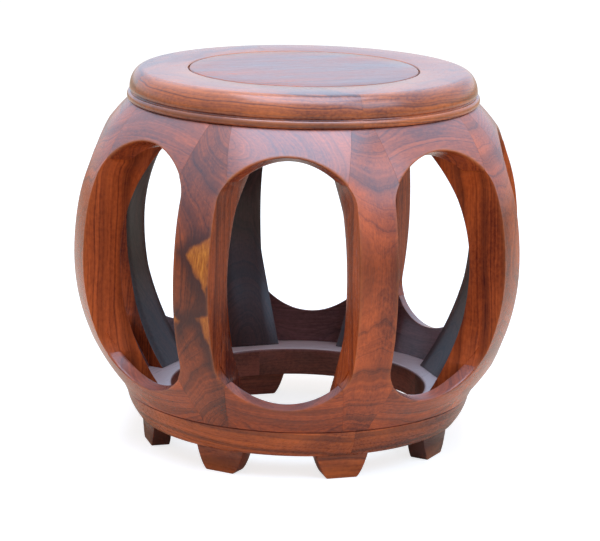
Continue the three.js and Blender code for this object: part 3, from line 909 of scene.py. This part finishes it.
@dataclass
class Stool:
    """Keeps the record of what has been made and gives each piece its finish."""

    finishes: dict[Slot, Material]

    def enter(self, piece: Piece, node: str, slot: Slot, material: Material | None = None) -> None:
        """Enters a finished piece in place of a CAD node.

        Args:
            piece: The finished piece.
            node: The node that it stands for.
            slot: The slot that its finish comes from.
            material: A finish of its own, if it has one.
        """
        piece.name = f"{node}_wood"
        piece.data.name = piece.name
        piece.data.materials.clear()
        piece.data.materials.append(material or self.finishes[slot])
        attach(piece, ROOT)
        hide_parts(node)
        LOG.info("%s: %d faces", piece.name, len(piece.data.polygons))

    def repeat(
        self,
        model: Piece,
        name: str,
        slot: Slot,
        board: Board,
        count: int,
        seed: int,
        own: dict[int, dict] | None = None,
    ) -> None:
        """Copies a piece round the axis and gives each copy its own stretch of wood.

        Args:
            model: The piece that is copied; it is the first of them.
            name: Name of the CAD nodes, without their number.
            slot: The slot that the finish comes from.
            board: How the piece lies in its tree.
            count: How many there are.
            seed: Where the seeds of their stretches of wood start.
            own: Settings of single copies: pith, dip, across, tone and material.
        """
        points = points_of(model)
        for i in reversed(range(count)):
            piece = model
            settings = dict((own or {}).get(i + 1, {}))
            material = settings.pop("material", None)
            tone = settings.pop("tone", 0.0)
            if i:
                piece = model.copy()
                piece.data = model.data.copy()
                bpy.context.collection.objects.link(piece)
            mark(piece, "grain", board.grain(points, seed + i, **settings))
            mark(piece, "tone", np.full(len(points), tone))
            self.turn(piece, 2 * math.pi * i / count)
            self.enter(piece, f"{name}_{i + 1}", slot, material)

    def turn(self, piece: Piece, angle: float) -> None:
        """Turns a piece about the stool's axis and applies the turn to its mesh."""
        only(piece)
        piece.rotation_euler.z = angle
        bpy.ops.object.transform_apply(location=False, rotation=True, scale=False)


@dataclass(frozen=True)
class LegShape:
    """A leg that stands in front of the axis: round outside and flat inside."""

    arcade: Arcade
    thickness: float = 0.0385
    inner_lower_arc: float = 0.244
    inner_upper_arc: float = 0.165
    head_radius: float = 0.15
    soffit_share: float = 0.6
    apron_thickness: float = 0.022
    blend: float = 0.03
    toe_flare: float = 0.0075
    toe_flare_height: float = 0.096
    head_flare: float = 0.0065
    head_flare_height: float = 0.079
    ease: float = 0.0011
    wear_and_highlight: float = 0.4
    dust_and_sheen_weight: float = 0.14
    ledge_fade: float = 0.002
    face_points: int = 17
    side_shares: tuple[float, ...] = (0.12, 0.4, 0.7, 1.0)
    back_shares: tuple[float, ...] = (1, 0.5, 0, -0.5, -1)
    back_crease: float = 0.9

    def inner_half(self, height: float) -> float:
        """Half the width of the flat inside, which spreads at both ends."""
        barrel = self.arcade.barrel
        toe = clamped(1 - (height - barrel.bottom) / self.toe_flare_height)
        head = clamped(1 - (barrel.top - height) / self.head_flare_height)
        flare = self.toe_flare * math.sin(toe * math.pi / 2) + self.head_flare * math.sin(head * math.pi / 2)
        return self.arcade.leg_half_width + flare

    def inner_radius(self, height: float) -> float:
        """Radius of the flat inside at a height."""
        barrel = self.arcade.barrel
        rise = height - barrel.belly_height
        widest = barrel.belly_radius - self.thickness
        if rise < 0:
            return widest - sagitta(self.inner_lower_arc, rise)
        arc = self.inner_upper_arc
        reach = math.sqrt(arc**2 - (arc - widest + self.head_radius) ** 2)
        return widest - sagitta(arc, min(rise, reach))

    def dip(self, height: float) -> float:
        """How much a row falls for each unit inwards."""
        barrel = self.arcade.barrel
        upper = self.arcade.shoulders[1]
        fade = min((barrel.top - height) / (barrel.top - upper), 1.0)
        return self.soffit_share * math.tan(barrel.slope(height)) * fade

    def radius_on(self, height: float, surface: Callable[[float], float]) -> tuple[float, float]:
        """Radius and height where the row from a height outside meets a surface inside."""
        outer = self.arcade.barrel.radius(height)
        dip = self.dip(height)
        at = height
        for _ in range(12):
            at = height - (outer - surface(at)) * dip
        return surface(at), at

    def apron_back(self, height: float) -> float:
        """Radius of the back of the aprons beside the leg."""
        arcade, barrel = self.arcade, self.arcade.barrel
        above = clamped((height - arcade.spring_bottom) / self.blend)
        below = clamped((arcade.spring_top - height) / self.blend)
        low = LowerProfile(arcade).inner(min(height, arcade.spring_bottom))
        high = barrel.parallel(max(height, arcade.spring_top), self.apron_thickness)
        middle = barrel.radius(height) - self.apron_thickness
        middle = low + (middle - low) * math.sin(above * math.pi / 2) ** 2
        return high + (middle - high) * math.sin(below * math.pi / 2) ** 2

    def row(self, height: float) -> list[Vector]:
        """Points round the leg.

        Args:
            height: Height of the row on the leg's outside.

        Returns:
            The outside from left to right, the right side, the flat back and the left side.
        """
        arcade = self.arcade
        outer = arcade.barrel.radius(height)
        blank = min(arcade.leg_edge(height), arcade.blank_half_width)
        face = min(blank, arcade.seam(height))
        inner, inner_height = self.radius_on(height, self.inner_radius)
        half = self.inner_half(inner_height)
        step, step_height = self.radius_on(height, self.apron_back)
        room = clamped((step - inner) / self.ledge_fade)
        step, step_height = max(step, inner), max(step_height, inner_height)

        def on_arc(x: float, radius: float, z: float) -> Vector:
            """Point in front of the axis at a radius."""
            return Vector((x, -math.sqrt(radius**2 - x**2), z))

        def width(radius: float) -> float:
            """Half the width between blank and inside at a radius."""
            return blank + (half - blank) * (outer - radius) / (outer - inner)

        def side(share: float) -> Vector:
            """Point on the right side, a share of the way to the aprons' back."""
            radius = outer + (step - outer) * share
            return on_arc(min(face, width(radius)), radius, height + (step_height - height) * share)

        shares = np.sin(np.linspace(-1, 1, self.face_points) * math.pi / 2)
        outside = [on_arc(share * face, outer, height) for share in shares]
        ledge = min(face, width(step))
        behind = on_arc(ledge + (width(step) - ledge) * room, step, step_height)
        right = [side(share) for share in self.side_shares]
        right += [behind, behind.lerp(Vector((half, -inner, inner_height)), 0.5)]
        back = [Vector((share * half, -inner, inner_height)) for share in self.back_shares]
        left = [Vector((-place.x, place.y, place.z)) for place in reversed(right)]
        return outside + right + back + left

    def heights(self) -> list[float]:
        """Heights of the rows on the outside."""
        arcade, barrel = self.arcade, self.arcade.barrel
        lower, upper = arcade.shoulders
        springs = (arcade.spring_bottom, arcade.spring_top)
        stops = (barrel.bottom, barrel.band_top, lower, *springs, upper, barrel.top)
        steps = (4, 10, 16, 30, 16, 12)
        rows = [stops[0]]
        for low, high, count in zip(stops, stops[1:], steps):
            rows += list(np.linspace(low, high, count + 1)[1:])
        return rows

    def edge_lines(self) -> list[Vector]:
        """The two edges that the leg shows to the openings."""
        arcade, barrel = self.arcade, self.arcade.barrel
        lines = []
        for height in np.linspace(*arcade.shoulders, 120):
            x = arcade.leg_edge(height)
            y = -math.sqrt(barrel.radius(height) ** 2 - x**2)
            lines += [Vector((side * x, y, height)) for side in (-1, 1)]
        return lines

    def dust_and_painted_sheen(self, face: Face) -> float:
        """How much dust and painted sheen a face gets, which grows as it looks up and outwards."""
        return self.dust_and_sheen_weight * upwards(face) * max(outwards(face), 0.0)

    def make(self, stool: Stool, own: dict[int, dict]) -> None:
        """Makes the eight legs.

        Args:
            stool: The stool that they are entered in.
            own: Settings of single legs.
        """
        heights = self.heights()
        lower, upper = self.arcade.shoulders
        middles = [(low + high) / 2 for low, high in zip(heights, heights[1:])]
        outer = [1.0 if lower < height < upper else 0.0 for height in middles]
        first_back = self.face_points + len(self.side_shares) + 2
        last_back = first_back + len(self.back_shares) - 1
        creases = {0: outer, self.face_points - 1: outer}
        creases |= dict.fromkeys((first_back, last_back), [self.back_crease] * len(middles))
        piece = skinned("leg_model", [self.row(height) for height in heights], creases)
        ease_edges(piece, self.ease, 3, weighted=True)
        smooth(piece)
        mark_carved(piece, self.edge_lines(), self.wear_and_highlight, self.dust_and_painted_sheen)
        stool.turn(piece, HALF_PITCH)
        turn = Matrix.Rotation(HALF_PITCH, 3, "Z")
        board = Board(UP, turn @ FRONT, turn @ Vector((0, -0.2, 0.2)), 0.05)
        stool.repeat(piece, "leg", Slot.LEG, board, LEGS, Seed.LEG, own)


@dataclass(frozen=True)
class Profile:
    """Section of an apron, seen from its end.

    Attributes:
        arcade: The openings that the apron lies between.
        end_points: How many points its flat end away from the opening adds.
        inside_points: How many points its inside adds.
    """

    arcade: Arcade
    end_points: int = 3
    inside_points: int = 5

    def inner(self, height: float) -> float:
        """Radius of the inside."""
        raise NotImplementedError

    def inner_edge(self, edge: float) -> float:
        """Height of the edge inside, for the height of the opening's edge there."""
        raise NotImplementedError

    def outside_heights(self, edge: float) -> list[float]:
        """Heights of the outside's points, from the opening's edge to the flat end."""
        raise NotImplementedError

    def section(self, edge: float, back: float) -> Outline:
        """Radii and heights round the section.

        Args:
            edge: Height of the opening's edge outside.
            back: Height of the opening's edge inside.

        Returns:
            The outside from the edge to the end, the end, the inside and the face in the opening.
        """
        radius = self.arcade.barrel.radius
        outside = [(radius(z), z) for z in self.outside_heights(edge)]
        end = outside[-1][1]
        across = np.linspace(radius(end), self.inner(end), self.end_points + 1)[1:]
        up = np.linspace(end, back, self.inside_points + 1)[1:]
        inside = [(self.inner(z), z) for z in up]
        return outside + [(r, end) for r in across] + inside + bridged(inside[-1], outside[0])


@dataclass(frozen=True)
class LowerProfile(Profile):
    """Section of the lower aprons, whose inside leans outwards up to a sill."""

    foot_radius: float = 0.163
    sill_radius: float = 0.182
    sill_rise: float = 0.0032
    face_points: int = 12
    band_points: int = 3

    def inner(self, height: float) -> float:
        """Radius of the inside."""
        bottom = self.arcade.barrel.bottom
        lean = (self.sill_radius - self.foot_radius) / (self.arcade.bottom + self.sill_rise - bottom)
        return self.foot_radius + lean * (height - bottom)

    def inner_edge(self, edge: float) -> float:
        """Height of the edge inside, for the height of the opening's edge there."""
        return edge + self.sill_rise

    def outside_heights(self, edge: float) -> list[float]:
        """Heights of the outside's points, from the opening's edge to the flat end."""
        barrel = self.arcade.barrel
        band = np.linspace(barrel.band_top, barrel.bottom, self.band_points + 1)[1:]
        return [*np.linspace(edge, barrel.band_top, self.face_points), *band]


@dataclass(frozen=True)
class UpperProfile(Profile):
    """Section of the upper aprons, which are as thick all over."""

    inside_points: int = 7
    face_points: int = 14
    thickness: float = 0.022
    soffit_share: float = 0.6

    def inner(self, height: float) -> float:
        """Radius of the inside."""
        return self.arcade.barrel.parallel(height, self.thickness)

    def inner_edge(self, edge: float) -> float:
        """Height of the edge inside, for the height of the opening's edge there."""
        return edge - self.soffit_share * self.thickness * math.sin(self.arcade.barrel.slope(edge))

    def outside_heights(self, edge: float) -> list[float]:
        """Heights of the outside's points, from the opening's edge to the flat end."""
        return list(np.linspace(edge, self.arcade.barrel.top, self.face_points))


@dataclass(frozen=True)
class ApronShape:
    """An apron between two legs, arched towards the opening."""

    arcade: Arcade
    level: Level
    ease: float
    wear_and_highlight: float
    dust_and_sheen_weight: float
    steps: int = 26

    def rows(self, profile: Profile) -> list[list[Vector]]:
        """Sections of the apron along its arch, fanned out to the slanting ends."""
        arcade, rows = self.arcade, []
        for angle, edge in arcade.arch(self.level, self.steps):
            share = float(np.clip(angle / arcade.end_angle(edge, arcade.barrel.radius(edge)), -1, 1))
            radius = profile.inner(profile.inner_edge(edge))
            edge_inside = arcade.edge_at(self.level, share * arcade.end_angle(edge, radius))
            section = profile.section(edge, profile.inner_edge(edge_inside))
            rows.append([around(r, share * arcade.end_angle(z, r), z) for r, z in section])
        return rows

    def make(self, stool: Stool, seed: int, own: dict[int, dict]) -> None:
        """Makes the eight aprons of a level.

        Args:
            stool: The stool that they are entered in.
            seed: Where the seeds of their stretches of wood start.
            own: Settings of single aprons.
        """
        upper = self.level is Level.UPPER
        rows = self.rows((UpperProfile if upper else LowerProfile)(self.arcade))
        spans = len(rows) - 1
        inner = len(rows[0]) - len(SILL_SHARES) - 1
        piece = skinned("apron_model", rows, {0: [1.0] * spans, inner: [0.5] * spans})
        ease_edges(piece, self.ease, 3, weighted=True)
        smooth(piece)
        radius = self.arcade.barrel.radius
        edge = [around(radius(z), angle, z) for angle, z in self.arcade.arch(self.level, 90)]
        # Faces that look up get dust and a painted sheen.
        mark_carved(piece, edge, self.wear_and_highlight, lambda face: self.dust_and_sheen_weight * upwards(face))
        board = Board(RIGHT, FRONT, Vector((0, -0.19, 0.337 if upper else 0.068)), 0.05)
        stool.repeat(piece, f"{self.level.value}_apron", Slot.APRON, board, LEGS, seed, own)


def quarter_board(height: float, radius: float, pith: float) -> Board:
    """The straight board that the first quarter of a ring was sawn from."""
    middle = around(1, HALF_PITCH + math.pi / QUARTERS, 0)
    return Board(Vector((-middle.y, middle.x, 0)), UP, radius * middle + height * UP, pith)


@dataclass(frozen=True)
class SeatFrame:
    """The frame round the seat panel, in four curved quarters over a bead."""

    bottom: float = 0.349
    top: float = 0.38
    opening: float = 0.116
    eye: float = 0.0017
    round_radius: float = 0.1745
    round_width: float = 0.014
    round_height: float = 0.02
    quirk_radius: float = 0.1729
    bead_radius: float = 0.177
    bead_height: float = 0.008
    joint_gap: float = 0.00003
    rim_wear_and_highlight_reach: float = 0.003
    bead_wear_and_highlight_reach: float = 0.0035
    bead_wear_and_highlight_height: float = 0.3545

    def outline(self) -> Outline:
        """Section of the frame, from the bead up over the round and down the opening."""
        half = self.bead_height / 2
        bulge = self.bead_radius - self.quirk_radius
        bead = [
            (self.quirk_radius + bulge * math.cos(turn) ** 0.55, self.bottom + half + half * math.sin(turn))
            for turn in np.linspace(-1.35, math.pi / 2 - 0.01, 12)
        ]
        return [
            (self.opening, self.bottom),
            (bead[0][0] - 0.0012, self.bottom),
            *bead,
            (self.quirk_radius, self.bottom + self.bead_height + 0.0008),
            *rounded(self.round_radius, self.top, self.round_width, self.round_height, 12),
            *rounded(self.opening, self.top, -self.eye, self.eye, 4)[::-1],
        ]

    def make(self, stool: Stool, own: dict[int, dict]) -> None:
        """Makes the four quarters."""
        piece = quarter("frame_model", self.outline(), self.joint_gap)
        points = points_of(piece)
        # The rim and the bead get wear with a painted highlight.
        rim = near_ring(points, self.opening, self.top, self.rim_wear_and_highlight_reach)
        bead = near_ring(points, self.bead_radius, self.bead_wear_and_highlight_height, self.bead_wear_and_highlight_reach)
        mark(piece, "wear_and_highlight", np.maximum(rim, 0.6 * bead))
        board = quarter_board(0.365, 0.14, 0.4)
        stool.repeat(piece, "seat_frame", Slot.FRAME, board, QUARTERS, Seed.SEAT_FRAME, own)


@dataclass(frozen=True)
class Seat:
    """The round seat panel and the dovetailed batten under it."""

    radius: float = 0.1148
    top: float = 0.38
    bottom: float = 0.368
    eye: float = 0.0017
    tongue: float = 0.006
    tongue_top: float = 0.376
    tongue_bottom: float = 0.371
    batten_half: float = 0.013
    batten_bottom: float = 0.3517
    mouth: float = 0.008
    crest: float = 0.011
    dovetail: float = 0.004
    slot_start: float = 0.002
    clearance: float = 0.0003
    frame_opening: float = 0.116
    grain_angle: float = 24
    cutter_reach: float = 0.13
    batten_ease: float = 0.0006
    rim_wear_and_highlight_reach: float = 0.003
    spin_steps: int = 128

    def batten_outline(self) -> Outline:
        """Section of the batten."""
        top = self.bottom - self.clearance
        flank = [(self.batten_half, self.batten_bottom), (self.batten_half, top)]
        return mirrored([*flank, (self.mouth, top), (self.crest, top + self.dovetail)])

    def slot_outline(self) -> Outline:
        """Section of the panel's slot, which starts under the panel so that no faces coincide."""
        flank = (self.crest - self.mouth) / self.dovetail
        start = (self.mouth + self.clearance - flank * self.slot_start, self.bottom - self.slot_start)
        return mirrored([start, (self.crest + self.clearance, self.bottom + self.dovetail)])

    def panel_outline(self) -> Outline:
        """Half the section of the panel, from the axis round the rim and back."""
        reach = self.radius + self.tongue
        under = [(x, self.bottom) for x in (0, 0.05, self.radius)]
        low = [(x, self.tongue_bottom) for x in (self.radius, reach)]
        high = [(x, self.tongue_top) for x in (reach, self.radius)]
        rim = rounded(self.radius, self.top, self.eye, self.eye, 4)
        return under + low + high + rim + [(x, self.top) for x in (0.09, 0.06, 0.03, 0)]

    def make(self, stool: Stool) -> None:
        """Makes the panel and its batten."""
        panel = spun("panel_model", self.panel_outline(), 0, 2 * math.pi, self.spin_steps)
        slot = prism("slot_cutter", self.slot_outline(), -self.cutter_reach, self.cutter_reach)
        modify(panel, "BOOLEAN", operation="DIFFERENCE", solver="EXACT", object=slot)
        bpy.data.objects.remove(slot, do_unlink=True)
        smooth(panel, SHARP_DEGREES)
        points = points_of(panel)
        mark(panel, "wear_and_highlight", 0.5 * near_ring(points, self.radius, self.top, self.rim_wear_and_highlight_reach))
        angle = math.radians(self.grain_angle)
        along = Vector((math.cos(angle), math.sin(angle), 0))
        mark(panel, "grain", Board(along, UP, Vector((0, 0.01, 0.375)), 0.035).grain(points, Seed.PANEL))
        mark(panel, "tone", np.full(len(points), -0.16))
        stool.enter(panel, "seat_panel", Slot.SEAT)
        half = math.sqrt(self.frame_opening**2 - self.batten_half**2) - self.clearance
        batten = prism("batten_model", self.batten_outline(), -half, half)
        ease_edges(batten, self.batten_ease, 2, weighted=False)
        smooth(batten)
        board = Board(-FRONT, UP, Vector((0, 0, 0.36)), 0.04)
        mark(batten, "grain", board.grain(points_of(batten), Seed.BATTEN))
        stool.enter(batten, "seat_batten", Slot.HIDDEN)


@dataclass(frozen=True)
class BaseRing:
    """The ring under the legs, in four curved quarters."""

    bottom: float = 0.025
    top: float = 0.0535
    inner: float = 0.1298
    lower_radius: float = 0.1635
    upper_radius: float = 0.1765
    bulge: float = 0.0023
    inner_round: float = 0.003
    chamfer: float = 0.0014
    joint_gap: float = 0.00004
    ledge_wear_and_highlight_reach: float = 0.004

    def outline(self) -> Outline:
        """Section of the ring, up its bulging outside, in over the ledge and down."""
        spread, rise = self.upper_radius - self.lower_radius, self.top - self.bottom
        outside = [
            (self.lower_radius + spread * s + self.bulge * math.sin(math.pi * s), self.bottom + rise * s)
            for s in np.linspace(0.02, 0.955, 12)
        ]
        return [
            (self.inner, self.bottom),
            (self.lower_radius - 0.0008, self.bottom),
            *outside,
            (self.upper_radius - self.chamfer, self.top),
            *rounded(self.inner, self.top, -self.inner_round, self.inner_round, 5)[::-1],
        ]

    def shade(self, face: Face) -> float:
        """How much painted shade a face gets: those that look inwards, and the chamfer in the joint with the
        band, painted as a dark line.
        """
        in_joint = outwards(face) > 0.2 and face.center.z > self.top - self.chamfer
        return 0.85 if in_joint else inwards(face)

    def make(self, stool: Stool, own: dict[int, dict]) -> None:
        """Makes the four quarters."""
        piece = quarter("ring_model", self.outline(), self.joint_gap)
        mark(piece, "wear_and_highlight", near_ring(points_of(piece), self.inner, self.top, self.ledge_wear_and_highlight_reach))
        # Painted shade on the inner faces and in the joint with the band.
        mark_faces(piece, "inside", self.shade)
        # The ledge and other faces that look up get dust and a painted sheen.
        mark_faces(piece, "dust_and_painted_sheen", lambda face: 0.0 if outwards(face) > 0.2 else upwards(face))
        board = quarter_board(0.04, 0.155, 0.35)
        stool.repeat(piece, "base_ring", Slot.BASE, board, QUARTERS, Seed.BASE_RING, own)


@dataclass(frozen=True)
class FootShape:
    """A foot that splays from its sole to the ring."""

    turn: float = math.radians(2.2)
    top: float = 0.0247
    top_half: float = 0.0265
    ankle_half: float = 0.021
    ankle_height: float = 0.005
    sole_half: float = 0.015
    front: float = 0.158
    depth: float = 0.019
    ease: float = 0.0009

    def outline(self) -> Outline:
        """Front of the foot, with its hollow flanks."""
        flank = []
        for t in np.linspace(0, 1, 12):
            x = (1 - t) ** 2 * self.sole_half + 2 * t * (1 - t) * self.ankle_half + t**2 * self.top_half
            z = 2 * t * (1 - t) * self.ankle_height + t**2 * self.top
            flank.append((x, z))
        return mirrored(flank)

    def make(self, stool: Stool, own: dict[int, dict]) -> None:
        """Makes the eight feet."""
        piece = prism("foot_model", self.outline(), self.front - self.depth, self.front)
        ease_edges(piece, self.ease, 2, weighted=False)
        smooth(piece, 30)
        points = points_of(piece)
        edge = np.minimum(self.front + points[:, 1], points[:, 2] + 0.0005)
        mark(piece, "wear_and_highlight", 0.6 * np.clip(1 - np.abs(edge) / 0.002, 0, 1) * (points[:, 2] < 0.004))
        # Painted shade on every face of a foot but its front.
        mark_faces(piece, "inside", lambda face: 0.0 if face.normal.y < -0.3 else 0.9)
        angle = HALF_PITCH - self.turn
        stool.turn(piece, angle)
        turn = Matrix.Rotation(angle, 3, "Z")
        board = Board(turn @ RIGHT, turn @ FRONT, turn @ Vector((0, -0.15, 0.012)), 0.04)
        stool.repeat(piece, "foot", Slot.BASE, board, LEGS, Seed.FOOT, own)


# Studio


def seen_by(tree: Tree, *kinds: str) -> Socket:
    """1 for camera rays and other kinds that show what the camera sees, else 0."""
    rays = tree.add("ShaderNodeLightPath").outputs
    seen = rays["Is Camera Ray"]
    for kind in kinds:
        seen = tree.math("MAXIMUM", seen, rays[f"Is {kind} Ray"])
    return seen


@dataclass(frozen=True)
class Studio:
    """Floor, light, background and camera."""

    floor_size: float = 60.0
    floor_tone: Colour = (0.92, 0.74, 0.56)
    seen_tone: float = 0.6
    seen_lift: float = 0.73
    top_energy: float = 78.0
    top_size: float = 1.9
    top_place: Place = (0.0, -0.55, 2.3)
    side_energy: float = 30.0
    side_size: float = 1.5
    side_place: Place = (1.9, -1.3, 2.1)
    aim: Place = (0.0, 0.0, 0.2)
    panel_colour: Colour = (0.52, 0.72, 1.0)
    sky_level: float = 0.5
    sky_colour: Colour = (0.60, 0.75, 1.0)
    sky_gloss: float = 1.3
    zenith_gloss: float = 1.2
    lens: float = 148.07
    sensor: float = 36.0
    camera_place: Place = (0.15984, -2.44528, 0.75835)
    camera_turn: Place = (3.74, 76.534, 1.14)

    def floor(self) -> None:
        """Lays a plain pale floor that keeps the shadow and is white to the camera."""
        bpy.ops.object.select_all(action="DESELECT")
        bpy.ops.mesh.primitive_plane_add(size=self.floor_size)
        floor = added("floor")
        material = bpy.data.materials.new("pale_floor")
        material.use_nodes = True
        tree = Tree(material.node_tree)
        seen = seen_by(tree, "Transmission")
        tone = tree.mix(seen, opaque(self.floor_tone), opaque((self.seen_tone,) * 3))
        plain = tree.add("ShaderNodeBsdfDiffuse", {"Color": tone})
        lift = tree.add("ShaderNodeEmission", {"Strength": tree.math("MULTIPLY", seen, self.seen_lift)})
        both = tree.add("ShaderNodeAddShader", {0: plain.outputs[0], 1: lift.outputs[0]})
        tree.add("ShaderNodeOutputMaterial", {0: both.outputs[0]})
        floor.data.materials.append(material)

    def lamp(self, name: str, place: Place, energy: float, size: float) -> None:
        """Hangs a square softbox that looks at the stool."""
        bpy.ops.object.light_add(type="AREA", location=place)
        lamp = added(name)
        lamp.data.energy = energy
        lamp.data.size = size
        lamp.data.color = self.panel_colour
        lamp.rotation_euler = (Vector(self.aim) - Vector(place)).to_track_quat("-Z", "Y").to_euler()

    def world(self) -> None:
        """Surrounds the scene with a soft sky, which is white to the camera along the floor."""
        world = bpy.data.worlds.new("soft_sky")
        bpy.context.scene.world = world
        world.use_nodes = True
        tree = Tree(world.node_tree)
        seen = seen_by(tree, "Transmission", "Glossy")
        place = tree.add("ShaderNodeTexCoord").outputs["Generated"]
        height = tree.add("ShaderNodeSeparateXYZ", {0: place}).outputs[2]
        up = tree.between(height, 0.02, 0.16)
        colour = tree.mix(up, (1, 1, 1, 1), opaque(self.sky_colour))
        strength = tree.math("MULTIPLY_ADD", up, self.sky_gloss - 1, 1.0)
        strength = tree.math("MULTIPLY_ADD", tree.between(height, 0.3, 0.7), self.zenith_gloss, strength)
        bright = tree.add("ShaderNodeBackground", {"Color": colour, "Strength": strength})
        soft = tree.add("ShaderNodeBackground", {"Color": (1.0, 0.97, 0.94, 1), "Strength": self.sky_level})
        mix = tree.add("ShaderNodeMixShader", {0: seen, 1: soft.outputs[0], 2: bright.outputs[0]})
        tree.add("ShaderNodeOutputWorld", {0: mix.outputs[0]})

    def camera(self) -> None:
        """Sets the camera where the picture was taken from."""
        turn, pitch, roll = (math.radians(angle) for angle in self.camera_turn)
        matrix = Matrix.Rotation(turn, 4, "Z") @ Matrix.Rotation(pitch, 4, "X")
        matrix = matrix @ Matrix.Rotation(roll, 4, "Z")
        bpy.ops.object.camera_add(location=self.camera_place, rotation=matrix.to_euler())
        camera = added("camera")
        camera.data.lens = self.lens
        camera.data.sensor_width = self.sensor
        bpy.context.scene.camera = camera

    def set_up(self) -> None:
        """Sets up the whole studio."""
        self.floor()
        self.lamp("top_panel", self.top_place, self.top_energy, self.top_size)
        self.lamp("side_panel", self.side_place, self.side_energy, self.side_size)
        self.world()
        self.camera()
        bpy.context.scene.view_settings.view_transform = "Standard"


def finishes() -> tuple[dict[Slot, Material], dict[str, Material]]:
    """Makes the finish of each slot, and those of single pieces."""
    groups = {group.name: group for group in (rosewood_grain(), worn_and_highlight_edges(), sapwood_wedge())}
    seat = Rosewood("seat_rosewood", Slot.SEAT, swirl=0.035, coat=1.0, figure=0.65)
    rim = Rosewood(
        "frame_rosewood", Slot.FRAME, flame=(0.52, 0.125, 0.028), swirl=0.014, coat=1.0, figure=0.18
    )
    leg = Rosewood("leg_rosewood", Slot.LEG, inner=(0.017, 0.013, 0.015), streaking=0.4)
    apron = Rosewood(
        "apron_rosewood", Slot.APRON, swirl=0.015, inner=(0.092, 0.046, 0.050), rings=440.0, streaking=0.35
    )
    base = Rosewood(
        "base_rosewood", Slot.BASE, flame=(0.50, 0.110, 0.025), swirl=0.011, gloss=-0.04,
        inner=(0.130, 0.036, 0.028),
    )
    plain = Rosewood(
        "plain_rosewood", Slot.HIDDEN, heart=(0.09, 0.03, 0.02), flame=(0.2, 0.08, 0.04), gloss=-0.3, coat=0.0
    )
    wedges = (
        Wedge(((0.0205, 0.254), (-0.007, 0.236), (0.0170, 0.196))),
        Wedge(((0.0195, 0.180), (0.0075, 0.174), (0.0170, 0.142))),
        Wedge(((-0.0125, 0.170), (-0.0215, 0.176), (-0.0205, 0.163))),
    )
    sapwood = replace(
        leg, name="sapwood_leg_rosewood", heart=(0.06, 0.011, 0.007), flame=(0.36, 0.07, 0.020),
        rings=520.0, wedges=wedges,
    )
    pale = replace(apron, name="pale_apron_rosewood", swirl=0.012, rings=520.0, streaking=0.2, coat=0.8)
    made = {finish.slot: finish.make(groups) for finish in (seat, rim, leg, apron, base, plain)}
    return made, {"sapwood_leg": sapwood.make(groups), "pale_apron": pale.make(groups)}


def main() -> None:
    """Dresses the stool and sets up its picture."""
    logging.basicConfig(level=logging.INFO, format="%(name)s %(message)s")
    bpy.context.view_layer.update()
    by_slot, single = finishes()
    stool = Stool(by_slot)
    arcade = Arcade(Barrel())
    Seat().make(stool)
    SeatFrame().make(stool, {})
    legs = {
        8: {"material": single["sapwood_leg"], "tone": -0.1, "across": 0.03},
        1: {"tone": -0.06},
        2: {"tone": 0.16},
        7: {"tone": 0.2},
    }
    LegShape(arcade).make(stool, legs)
    ovals = {"material": single["pale_apron"], "tone": -0.06, "dip": 40.0, "pith": -0.035, "across": -0.003}
    upper = ApronShape(arcade, Level.UPPER, ease=0.0016, wear_and_highlight=0.9, dust_and_sheen_weight=0.16)
    upper.make(stool, Seed.UPPER_APRON, {1: ovals})
    lower = ApronShape(arcade, Level.LOWER, ease=0.003, wear_and_highlight=0.3, dust_and_sheen_weight=0.1)
    lower.make(stool, Seed.LOWER_APRON, {})
    BaseRing().make(stool, {1: {"tone": -0.24}})
    FootShape().make(stool, {1: {"tone": -0.2}, 2: {"tone": -0.5}, 7: {"tone": -0.5}})
    Studio().set_up()


if __name__ == "__main__":
    main()
